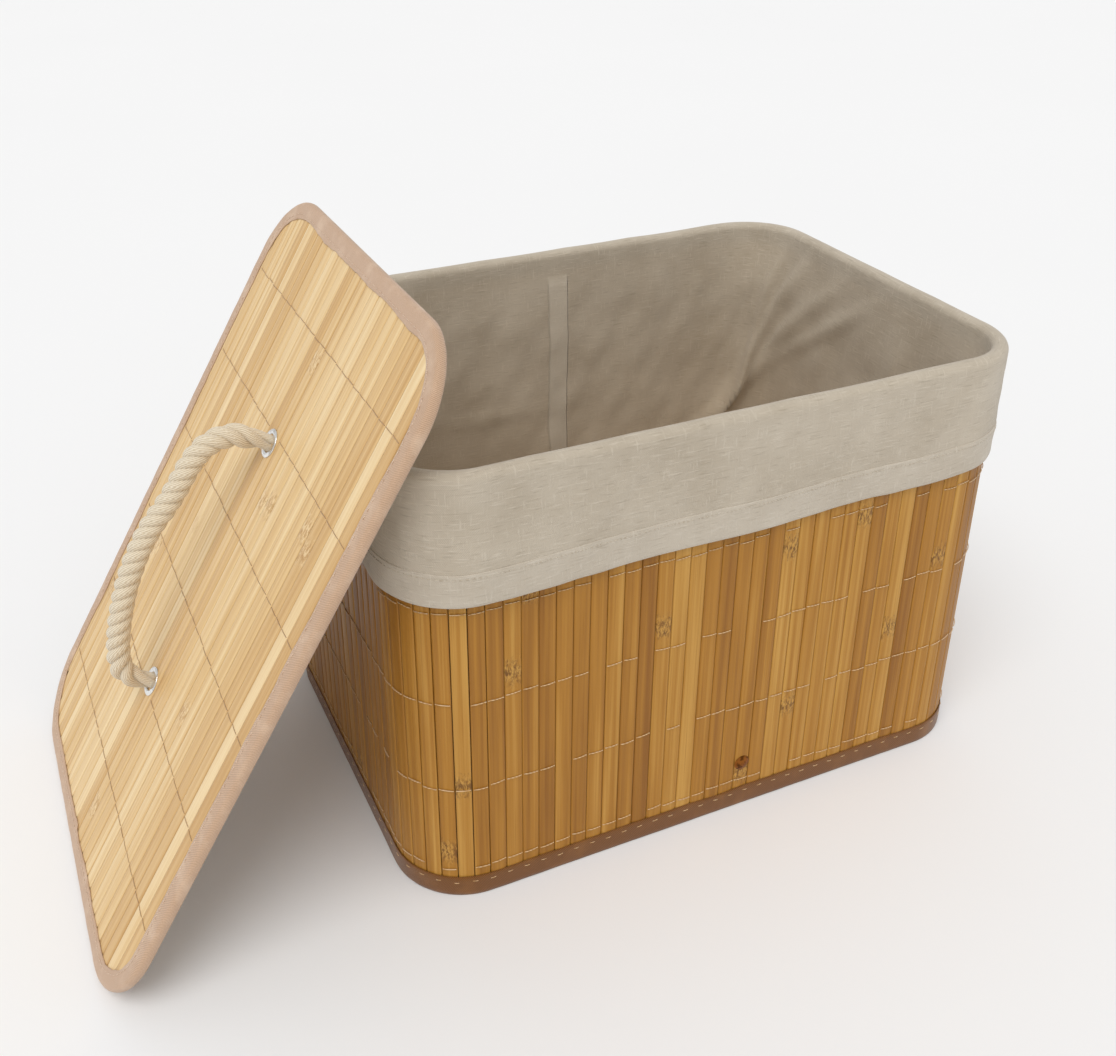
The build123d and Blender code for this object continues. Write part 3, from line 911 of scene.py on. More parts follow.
@dataclass
class HamperWalls:
    """The slatted wall, its weaving threads and the tape round its foot.

    Attributes:
        outline: The wall's outer face seen from above.
        slat_thickness: Through one slat.
        gap: Between neighbouring slats.
        long_count: Slats on a long side.
        short_count: Slats on a short side.
        corner_count: Slats round a corner.
        mat_bottom: Height of the slats' lower ends.
        mat_top: Height of their upper ends.
        thread_rows: Heights of the weaving threads.
        stitch_pitch: Slat pitch that a stitch of full span belongs to.
    """

    outline: RoundedPath = RoundedPath(0.400, 0.280, 0.044)
    slat_thickness: float = 2.0 * MM
    gap: float = 0.28 * MM
    long_count: int = 30
    short_count: int = 18
    corner_count: int = 7
    mat_bottom: float = 0.65 * MM
    mat_top: float = 277.5 * MM
    thread_rows: tuple[float, ...] = (21 * MM, 81 * MM, 141 * MM, 201 * MM)
    stitch_pitch: float = 10.4 * MM

    def slat_middles(self) -> tuple[np.ndarray, np.ndarray, np.ndarray]:
        """Where the slats stand.

        Returns:
            Distances along the outline, pitches there, and a 1 for each slat in a corner.
        """
        path = self.outline
        runs = [(path.straight_depth / 2, self.short_count // 2, 0), (path.quarter, self.corner_count, 1),
                (path.straight_length, self.long_count, 0), (path.quarter, self.corner_count, 1),
                (path.straight_depth, self.short_count, 0), (path.quarter, self.corner_count, 1),
                (path.straight_length, self.long_count, 0), (path.quarter, self.corner_count, 1),
                (path.straight_depth / 2, self.short_count // 2, 0)]
        middles, pitches, corners = [], [], []
        start = 0.0
        for run, count, corner in runs:
            pitch = run / count
            middles += [start + pitch * (index + 0.5) for index in range(count)]
            pitches += [pitch] * count
            corners += [corner] * count
            start += run
        return np.array(middles), np.array(pitches), np.array(corners)

    def build_slats(self, finish: bpy.types.Material) -> bpy.types.Object:
        """All the upright slats, each a little proud or shy of the next.

        Args:
            finish: The slats' bamboo.

        Returns:
            One object.
        """
        middles, pitches, corners = self.slat_middles()
        points, normals = self.outline.at(middles)
        chance = np.random.default_rng(11)
        stations = []
        for point, normal, pitch, corner in zip(points, normals, pitches, corners):
            shy = self.slat_thickness / 2 + (0.23 * MM if corner else 0.0) + chance.uniform(0, 0.16) * MM
            foot = self.mat_bottom + chance.uniform(0, 0.4) * MM
            spot = Vector((*(point - normal * shy), foot))
            across = Vector((-normal[1], normal[0], 0.0))
            wide = pitch - self.gap - (0.35 * MM if corner else 0.0)
            stations.append(Station(spot, across, UP, (wide / MM, 1.0, self.mat_top - foot)))
        slats = slat_row(21, 1.0 * MM, self.slat_thickness).build("wall_slats", stations, finish)
        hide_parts("front_wall_slats", "back_wall_slats", "left_wall_slats", "right_wall_slats",
                    "corner_slats")
        return slats

    def build_threads(self, finish: bpy.types.Material) -> bpy.types.Object:
        """One stitch over each slat of each row, a few of them worn away.

        Args:
            finish: The thread.

        Returns:
            One object.
        """
        middles, pitches, _ = self.slat_middles()
        points, normals = self.outline.at(middles)
        chance = np.random.default_rng(12)
        stations = []
        for row in self.thread_rows:
            for point, normal, pitch in zip(points, normals, pitches):
                if chance.uniform() < 0.16:
                    continue
                height = row + chance.uniform(-0.9, 0.9) * MM
                spot = Vector((*(point + normal * 0.02 * MM), height))
                slope = chance.uniform(-0.09, 0.09)
                across = Vector((-normal[1], normal[0], slope)).normalized()
                size = (pitch / self.stitch_pitch, 1.0, 1.0)
                stations.append(Station(spot, across, Vector((*normal, 0.0)), size))
        threads = stitch_row(22, 9.4 * MM, 0.7 * MM, 0.32 * MM).build("weaving_stitches", stations, finish)
        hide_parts("wall_threads")
        return threads

    def build_tape(self, finish: bpy.types.Material) -> bpy.types.Object:
        """The tape folded round the wall's foot, its edge slightly uneven.

        Args:
            finish: The tape.

        Returns:
            One object.
        """
        columns = 480
        distance = self.outline.ring(columns)
        points, normals = self.outline.at(distance)
        section = np.array([(-3.9, 0.05), (-1.9, 0.0), (0.2, 0.05), (0.62, 0.6), (0.75, 3.0), (0.7, 7.0),
                            (0.72, 11.0), (0.62, 13.2), (0.42, 14.0), (0.14, 14.15), (0.03, 13.6),
                            (0.03, 0.8),
                            (-3.82, 0.65), (-3.82, 13.9), (-4.4, 13.9), (-4.4, 0.7)]) * MM
        chart = np.zeros((len(section) + 1, columns + 1, 2))
        chart[:, :, 0] = np.append(distance, self.outline.perimeter)
        steps = np.linalg.norm(np.diff(np.vstack([section, section[:1]]), axis=0), axis=1)
        chart[:, :, 1] = np.append(0, np.cumsum(steps))[:, None]
        grid = np.zeros((len(section), columns, 3))
        for row, (offset, height) in enumerate(section):
            edge = 0.55 * MM * waves(31, 0.05, distance, np.zeros(columns)) if 13.0 * MM < height else 0.0
            swell = 0.14 * MM * np.abs(waves(32, 0.03, distance, np.full(columns, height * 3)))
            if 0.3 * MM < offset:
                grid[row, :, :2] = points + normals * (offset + swell)[:, None]
            else:
                grid[row, :, :2] = points + normals * offset
            grid[row, :, 2] = height + (edge if offset > 0 else 0.0)
        tape = loft("foot_tape", grid, chart, finish, closed_section=True)
        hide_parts("bottom_binding")
        return tape

    def build_tape_stitches(self, finish: bpy.types.Material) -> bpy.types.Object:
        """Sparse running stitches near the tape's upper edge.

        Args:
            finish: The thread.

        Returns:
            One object.
        """
        count = 118
        distance = self.outline.ring(count) + 3 * MM
        points, normals = self.outline.at(distance)
        chance = np.random.default_rng(13)
        stations = []
        for point, normal in zip(points, normals):
            height = (10.6 + chance.uniform(-0.5, 0.5)) * MM
            across = Vector((-normal[1], normal[0], chance.uniform(-0.12, 0.12))).normalized()
            stations.append(Station(Vector((*(point + normal * 0.68 * MM), height)), across,
                                    Vector((*normal, 0.0))))
        stitches = stitch_row(23, 3.4 * MM, 0.6 * MM, 0.24 * MM).build("foot_tape_stitches", stations, finish)
        return stitches


@dataclass
class Liner:
    """The sewn cloth bag, folded out over the rim as a cuff, with a doubled hem.

    Attributes:
        outline: The wall's outer face seen from above.
        cuff_out: How far the cuff's middle stands out from it.
        fold_radius: Of the cloth's middle, over the rim.
        fold_centre: How far in the fold's centre lies.
        rim_height: Of the fold's centre.
        cuff_bottom: Height of the cuff's lower edge.
        floor: Height of the cloth's middle at the bottom.
        cloth: Thickness of the cloth.
        columns: Points once round the outline.
    """

    outline: RoundedPath = RoundedPath(0.400, 0.280, 0.044)
    cuff_out: float = 2.606 * MM
    fold_radius: float = 4.5 * MM
    fold_centre: float = 1.894 * MM
    rim_height: float = 279.9 * MM
    cuff_bottom: float = 210.0 * MM
    floor: float = 5.6 * MM
    cloth: float = 1.0 * MM
    columns: int = 400

    def marks(self) -> dict[str, float]:
        """Distances along the outline of the corners' middles and of the back seam."""
        path = self.outline
        corner = path.straight_depth / 2 + path.quarter / 2
        side = path.quarter + path.straight_length
        front_right = corner + side
        back_right = front_right + path.quarter + path.straight_depth
        return {"front_left": corner, "front_right": front_right, "back_right": back_right,
                "back_left": back_right + side, "seam": back_right + 0.168}

    def cuff_shift(self, distance: np.ndarray, height: np.ndarray) -> np.ndarray:
        """How far the cuff hangs out from a straight drop.

        Args:
            distance: Along the outline.
            height: Above the ground.

        Returns:
            Offsets outwards, in metres.
        """
        marks = self.marks()
        slack = smooth(0.274, 0.222, height)
        shift = 0.5 * MM + 0.9 * MM * waves(41, 0.11, distance, height * 0.5)
        shift += 2.6 * MM * bump_at(marks["front_left"] + 0.05, 0.045, distance)
        shift -= 1.2 * MM * bump_at(marks["front_right"], 0.03, distance)
        shift += 1.5 * MM * bump_at(marks["front_right"] + 0.09, 0.03, distance)
        small = 0.35 * MM * waves(42, 0.022, distance, height) * smooth(0.279, 0.262, height)
        return np.maximum(slack * shift, -1.3 * MM) + small

    def edge_drop(self, distance: np.ndarray) -> np.ndarray:
        """How the cuff's lower edge waves up and down along the outline."""
        marks = self.marks()
        wave = 1.5 * MM * waves(43, 0.16, distance, np.zeros_like(distance))
        return wave + 2.4 * MM * bump_at(marks["front_right"], 0.05, distance) \
            - 1.8 * MM * bump_at(marks["front_left"] + 0.06, 0.05, distance)

    def inner_shift(self, distance: np.ndarray, height: np.ndarray) -> np.ndarray:
        """How far the bag hangs inwards from the wall, in soft upright folds.

        Args:
            distance: Along the outline.
            height: Above the ground.

        Returns:
            Offsets inwards, in metres.
        """
        marks = self.marks()
        slack = smooth(0.281, 0.235, height) * smooth(0.006, 0.03, height)
        deep = 1.4 * MM + 1.8 * MM * waves(51, 0.10, distance, height * 0.35)
        deep += 0.8 * MM * waves(52, 0.030, distance + 0.35 * height, height * 0.6)
        for name, size in (("front_left", 4.5), ("front_right", 5.0), ("back_right", 6.5),
                           ("back_left", 4.5)):
            deep += size * MM * bump_at(marks[name], 0.034, distance)
        lean = distance - marks["back_right"] + 0.055
        for start, slope, size, wide in ((0.0, 0.62, 5.2, 0.0075), (0.030, 0.30, 3.6, 0.006),
                                         (-0.042, 0.95, 4.2, 0.0085), (-0.085, 1.3, 3.0, 0.007)):
            ridge = bump_at(start, wide, lean - slope * (0.268 - height))
            deep += size * MM * ridge * smooth(0.05, 0.17, height)
        deep += 2.4 * MM * bump_at(0.0, 0.007, distance - marks["front_right"] - 0.035)
        deep += 1.6 * MM * bump_at(0.165, 0.005, height) \
            * bump_at(marks["seam"] + 0.06, 0.05, distance)
        return slack * np.maximum(deep, 0.0)

    def profile(self) -> list[tuple[str, float]]:
        """The cloth's run from the cuff's edge to the floor's middle, as part and place in it."""
        rows = [("cuff", t) for t in np.linspace(0, 1, 20)[:-1]]
        rows += [("fold", t) for t in np.linspace(0, 1, 11)[:-1]]
        rows += [("wall", t) for t in np.linspace(0, 1, 46)[:-1]]
        rows += [("turn", t) for t in np.linspace(0, 1, 7)[:-1]]
        rows += [("floor", t) for t in np.linspace(0, 1, 14)]
        return rows

    def build_bag(self, finish: bpy.types.Material) -> bpy.types.Object:
        """The whole cloth from the cuff's edge, over the rim and down to the floor.

        Args:
            finish: The linen.

        Returns:
            One object.
        """
        distance = self.outline.ring(self.columns)
        points, normals = self.outline.at(distance)
        inner = self.cuff_out - 2 * self.fold_radius
        turn = 14 * MM
        rows, flow = [], []
        run = 0.0
        previous = None
        edge_points = None
        for part, t in self.profile():
            if part == "cuff":
                low = self.cuff_bottom + self.edge_drop(distance)
                height = low + t * (self.rim_height - low)
                offset = self.cuff_out + self.cuff_shift(distance, height)
            elif part == "fold":
                angle = math.pi * t
                dip = 0.6 * MM * np.abs(waves(44, 0.12, distance, np.zeros_like(distance))) * math.sin(angle)
                height = self.rim_height + self.fold_radius * math.sin(angle) - dip
                offset = np.full(self.columns, -self.fold_centre + self.fold_radius * math.cos(angle))
            elif part == "wall":
                height = np.full(self.columns, self.rim_height + t * (self.floor + turn - self.rim_height))
                offset = inner - self.inner_shift(distance, height)
            elif part == "turn":
                angle = math.pi / 2 * t
                height = np.full(self.columns, self.floor + turn * (1 - math.sin(angle)))
                offset = inner - self.inner_shift(distance, height) - turn * (1 - math.cos(angle))
            else:
                if edge_points is None:
                    edge_points = points + normals * (inner - turn)
                spine = np.stack([np.clip(points[:, 0], -0.07, 0.07), np.zeros(self.columns)], 1)
                flat = edge_points + t * (spine - edge_points)
                wrinkle = 0.5 * MM * (1 + waves(53, 0.06, flat[:, 0], flat[:, 1]))
                rise = wrinkle * smooth(0.0, 0.2, np.full(self.columns, t))
                row = np.column_stack([flat, self.floor + rise])
                rows.append(row)
                flow.append(run + 0.12 * t)
                continue
            row = np.column_stack([points + normals * offset[:, None], height])
            if previous is not None:
                run += float(np.linalg.norm(row - previous, axis=1).mean())
            previous = row
            rows.append(row)
            flow.append(run)
        chart = np.zeros((len(rows), self.columns + 1, 2))
        chart[:, :, 0] = np.append(distance, self.outline.perimeter)
        chart[:, :, 1] = np.array(flow)[:, None]
        bag = loft("liner_cloth", np.array(rows), chart, finish)
        self.flatten_floor_chart(bag.data)
        self.weld(bag.data)
        thicken(bag, self.cloth)
        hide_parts("liner_bag", "liner_cuff")
        return bag

    def flatten_floor_chart(self, mesh: bpy.types.Mesh) -> None:
        """Lay the floor's weave straight across it."""
        layer = mesh.uv_layers["UVMap"].data
        for face in mesh.polygons:
            if face.center.z < self.floor + 1.2 * MM and face.normal.z > 0.9:
                for loop in face.loop_indices:
                    spot = mesh.vertices[mesh.loops[loop].vertex_index].co
                    layer[loop].uv = (spot.x + 3.0, spot.y + 3.0)

    @staticmethod
    def weld(mesh: bpy.types.Mesh) -> None:
        """Close the floor's middle, where its front and back meet."""
        shape = bmesh.new()
        shape.from_mesh(mesh)
        bmesh.ops.remove_doubles(shape, verts=shape.verts, dist=0.02 * MM)
        shape.to_mesh(mesh)
        shape.free()

    def build_hem(self, finish: bpy.types.Material) -> bpy.types.Object:
        """The turned-up hem along the cuff's lower edge.

        Args:
            finish: The hem's doubled linen.

        Returns:
            One object.
        """
        distance = self.outline.ring(self.columns)
        points, normals = self.outline.at(distance)
        section = [(-0.5, -0.3), (0.1, -0.6), (0.7, -0.3), (0.98, 0.6), (1.0, 3.0), (0.95, 8.0), (0.95, 13.0),
                   (0.97, 17.5), (0.92, 19.4), (0.75, 19.9), (0.5, 20.0), (0.3, 10.0)]
        grid = np.zeros((len(section), self.columns, 3))
        low = self.cuff_bottom + self.edge_drop(distance)
        for row, (out, up) in enumerate(section):
            height = low + up * MM
            pucker = 0.13 * MM * waves(45, 0.009, distance, height * 0.2) if out > 0.9 else 0.0
            offset = self.cuff_out + self.cuff_shift(distance, height) + out * MM + pucker
            grid[row] = np.column_stack([points + normals * offset[:, None], height])
        chart = np.zeros((len(section) + 1, self.columns + 1, 2))
        chart[:, :, 0] = np.append(distance, self.outline.perimeter) + 0.37
        ups = [up for _, up in section]
        chart[:, :, 1] = np.array([*ups, 0.0])[:, None] * MM + 0.011
        hem = loft("cuff_hem", grid, chart, finish, closed_section=True)
        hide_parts("liner_hem")
        return hem

    def build_stitches(self, finish: bpy.types.Material) -> bpy.types.Object:
        """The hem's row of fine machine stitches.

        Args:
            finish: The thread.

        Returns:
            One object.
        """
        count = 430
        distance = self.outline.ring(count)
        points, normals = self.outline.at(distance)
        height = self.cuff_bottom + self.edge_drop(distance) + 17.3 * MM
        offset = self.cuff_out + self.cuff_shift(distance, height) + 0.92 * MM
        spots = np.column_stack([points + normals * offset[:, None], height])
        ahead = np.roll(spots, -1, axis=0)
        stations = []
        for spot, next_spot, normal in zip(spots, ahead, normals):
            along = Vector(next_spot - spot).normalized()
            out = Vector((*normal, 0.0))
            out = (out - along * out.dot(along)).normalized()
            stations.append(Station(Vector(spot), along, out))
        stitches = stitch_row(24, 2.3 * MM, 0.34 * MM, 0.17 * MM).build("hem_stitches", stations, finish)
        return stitches


@dataclass
class Lid:
    """The loose lid, leaning on the left rim: slats, threads, edge tape and eyelets.

    Attributes:
        origin: The middle of its underside.
        lean: Its slope from the ground, in radians.
        outline: Its edge in its own plane.
        mat: The slatted mat's edge.
        slat_low: Height of the slats' underside above the lid's.
        slat_thickness: Through one slat.
        slat_pitch: From one slat to the next.
        thread_places: Distances of the thread rows from the middle.
        eyelet_place: Distance of each eyelet from the middle.
        lining: The lining's edge, inside the tape.
        lining_height: Of the lining's middle above the lid's underside.
    """

    origin: Vector
    lean: float = math.radians(58.84)
    outline: RoundedPath = RoundedPath(0.410, 0.294, 0.047)
    mat: RoundedPath = RoundedPath(0.4058, 0.2898, 0.0449)
    slat_low: float = 3.75 * MM
    slat_thickness: float = 1.9 * MM
    slat_pitch: float = 10.35 * MM
    thread_places: tuple[float, ...] = (29.75 * MM, 89.25 * MM, 148.75 * MM)
    eyelet_place: float = 83.0 * MM
    lining: RoundedPath = RoundedPath(0.3874, 0.2714, 0.0357)
    lining_height: float = 0.6 * MM

    @property
    def frame(self) -> Matrix:
        """From the lid's own length, width and height to the room."""
        along = Vector((math.cos(self.lean), 0.0, math.sin(self.lean)))
        across = Vector((0.0, 1.0, 0.0))
        turned = Matrix((along, across, along.cross(across))).transposed().to_4x4()
        return Matrix.Translation(self.origin) @ turned

    def spot(self, along: float, across: float, up: float) -> Vector:
        """A point of the lid's own space, in the room."""
        return self.frame @ Vector((along, across, up))

    def aim(self, along: float, across: float, up: float) -> Vector:
        """A direction of the lid's own space, in the room."""
        return self.frame.to_3x3() @ Vector((along, across, up)).normalized()

    def build_slats(self, finish: bpy.types.Material) -> bpy.types.Object:
        """The slats, cut shorter towards the rounded corners.

        Args:
            finish: The slats' bamboo.

        Returns:
            One object.
        """
        count = round(self.mat.depth / self.slat_pitch)
        chance = np.random.default_rng(61)
        stations = []
        for index in range(count):
            across = -self.mat.depth / 2 + self.slat_pitch * (index + 0.5)
            outer = abs(across) + self.slat_pitch / 2
            beyond = max(outer - self.mat.straight_depth / 2, 0.0)
            reach = math.sqrt(max((46.2 * MM) ** 2 - beyond ** 2, 0.0))
            half = min(self.mat.straight_length / 2 + reach, self.mat.length / 2)
            up = self.slat_low + self.slat_thickness / 2 + chance.uniform(-0.1, 0.1) * MM
            size = ((self.slat_pitch - 0.45 * MM) / MM, 1.0, 2 * half)
            stations.append(Station(self.spot(-half, across, up), self.aim(0, 1, 0), self.aim(1, 0, 0), size))
        slats = slat_row(25, 1.0 * MM, self.slat_thickness).build("lid_top_slats", stations, finish)
        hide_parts("lid_slats")
        return slats

    def build_threads(self, finish: bpy.types.Material) -> bpy.types.Object:
        """The thread rows across the slats, left out under the eyelets.

        Args:
            finish: The thread.

        Returns:
            One object.
        """
        count = round(self.mat.depth / self.slat_pitch)
        chance = np.random.default_rng(62)
        top = self.slat_low + self.slat_thickness
        stations = []
        for place in (*self.thread_places, *(-place for place in self.thread_places)):
            for index in range(count):
                across = -self.mat.depth / 2 + self.slat_pitch * (index + 0.5)
                long_enough = abs(across) < self.mat.depth / 2 - 6 * MM
                under_eyelet = abs(across) < 13 * MM and abs(abs(place) - self.eyelet_place) < 12 * MM
                if not long_enough or under_eyelet:
                    continue
                spot = self.spot(place + chance.uniform(-0.35, 0.35) * MM, across, top + 0.02 * MM)
                stations.append(Station(spot, self.aim(chance.uniform(-0.05, 0.05), 1, 0), self.aim(0, 0, 1)))
        threads = stitch_row(26, 9.6 * MM, 0.42 * MM, 0.2 * MM).build("lid_stitches", stations, finish)
        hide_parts("lid_threads")
        return threads

    def edge_ring(self, distance: np.ndarray, offset: np.ndarray, up: np.ndarray) -> np.ndarray:
        """Points of the edge tape in the room.

        Args:
            distance: Along the outline.
            offset: Outwards from it.
            up: Above the lid's underside.

        Returns:
            One row of points.
        """
        points, normals = self.outline.at(distance)
        flat = points + normals * offset[:, None]
        own = np.column_stack([flat, up])
        turn = np.array(self.frame.to_3x3())
        return own @ turn.T + np.array(self.origin)

    def build_tape(self, finish: bpy.types.Material) -> bpy.types.Object:
        """The napped tape folded over the lid's edge, its inner edge a little uneven.

        Args:
            finish: The tape.

        Returns:
            One object.
        """
        columns = 560
        distance = self.outline.ring(columns)
        section = [(-11.0, 0.0), (-7.0, 0.0), (-2.4, 0.0), (-1.2, 0.33), (-0.35, 1.2), (0.0, 2.4), (0.0, 4.0),
                   (-0.33, 5.2), (-1.2, 6.1), (-2.4, 6.45), (-5.0, 6.5), (-8.0, 6.5), (-10.3, 6.45),
                   (-10.95, 6.25), (-11.1, 5.85), (-10.6, 5.7), (-2.4, 5.7), (-1.2, 5.2), (-0.7, 4.0),
                   (-0.7, 2.4), (-1.2, 1.2), (-2.4, 0.7), (-11.0, 0.7)]
        grid = np.zeros((len(section), columns, 3))
        wander = 0.8 * MM * waves(63, 0.055, distance, np.zeros(columns)) \
            + 0.3 * MM * waves(64, 0.012, distance, np.zeros(columns))
        for row, (offset, up) in enumerate(section):
            swell = 0.13 * MM * waves(65, 0.02, distance, np.full(columns, (offset + up) * 1.5 * MM))
            top_face = up > 5.75
            outs = np.full(columns, offset * MM) + (wander if offset < -9 and up > 5 else 0.0)
            ups = np.full(columns, up * MM) + (np.maximum(swell, -0.05 * MM) if top_face else 0.0)
            grid[row] = self.edge_ring(distance, outs, ups)
        chart = np.zeros((len(section) + 1, columns + 1, 2))
        chart[:, :, 0] = np.append(distance, self.outline.perimeter)
        loop = np.array([*section, section[0]]) * MM
        chart[:, :, 1] = np.append(0, np.cumsum(np.linalg.norm(np.diff(loop, axis=0), axis=1)))[:, None]
        tape = loft("lid_edge_tape", grid, chart, finish, closed_section=True)
        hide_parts("lid_binding")
        return tape

    def build_tape_stitches(self, finish: bpy.types.Material) -> bpy.types.Object:
        """The running stitch that holds the edge tape.

        Args:
            finish: The thread.

        Returns:
            One object.
        """
        distance = self.outline.ring(250)
        spots = self.edge_ring(distance, np.full(250, -8.4 * MM), np.full(250, 6.5 * MM))
        ahead = np.roll(spots, -1, axis=0)
        stations = [Station(Vector(spot), Vector(after - spot).normalized(), self.aim(0, 0, 1))
                    for spot, after in zip(spots, ahead)]
        stitches = stitch_row(27, 3.1 * MM, 0.42 * MM, 0.2 * MM).build("lid_tape_stitches", stations, finish)
        return stitches

    def build_lining(self, finish: bpy.types.Material) -> bpy.types.Object:
        """The cloth glued under the lid, faintly uneven, up to the edge tape.

        Args:
            finish: The lining.

        Returns:
            One object.
        """
        columns, rows = 280, 40
        edge = self.lining
        distance = edge.ring(columns)
        points, _ = edge.at(distance)
        reach = (edge.length - edge.depth) / 2
        spine = np.stack([np.clip(points[:, 0], -reach, reach), np.zeros(columns)], 1)
        turn = np.array(self.frame.to_3x3())
        grid = np.zeros((rows, columns, 3))
        chart = np.zeros((rows, columns + 1, 2))
        for row, inwards in enumerate(np.linspace(0, 1, rows)):
            flat = points + inwards * (spine - points)
            ups = self.lining_height + 0.09 * MM * np.clip(waves(66, 0.045, flat[:, 0], flat[:, 1]), -1, 1)
            grid[row] = np.column_stack([flat, ups]) @ turn.T + np.array(self.origin)
            chart[row] = np.vstack([flat, flat[:1]])
        lining = loft("lid_lining_cloth", grid, chart, finish)
        Liner.weld(lining.data)
        thicken(lining, 0.4 * MM)
        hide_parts("lid_lining")
        return lining

    def build_eyelets(self, finish: bpy.types.Material) -> bpy.types.Object:
        """Two pressed eyelets with rolled lips.

        Args:
            finish: Their metal.

        Returns:
            One object.
        """
        profile = [(5.6, 0.9), (6.1, 0.9), (6.1, 5.68), (8.4, 5.68), (8.75, 5.78), (8.85, 6.0), (8.6, 6.3),
                   (7.9, 6.62), (7.1, 6.75), (6.4, 6.68), (5.9, 6.45), (5.6, 6.0)]
        scaled = [(radius * MM, up * MM) for radius, up in profile]
        shape = bmesh.new()
        for place in (-self.eyelet_place, self.eyelet_place):
            part = lathe("eyelet", scaled, self.frame @ Matrix.Translation((place, 0, 0)), finish)
            shape.from_mesh(part)
            bpy.data.meshes.remove(part)
        mesh = bpy.data.meshes.new("eyelets")
        shape.to_mesh(mesh)
        shape.free()
        eyelets = finish_object("eyelets", mesh, finish)
        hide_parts("lid_eyelets")
        return eyelets


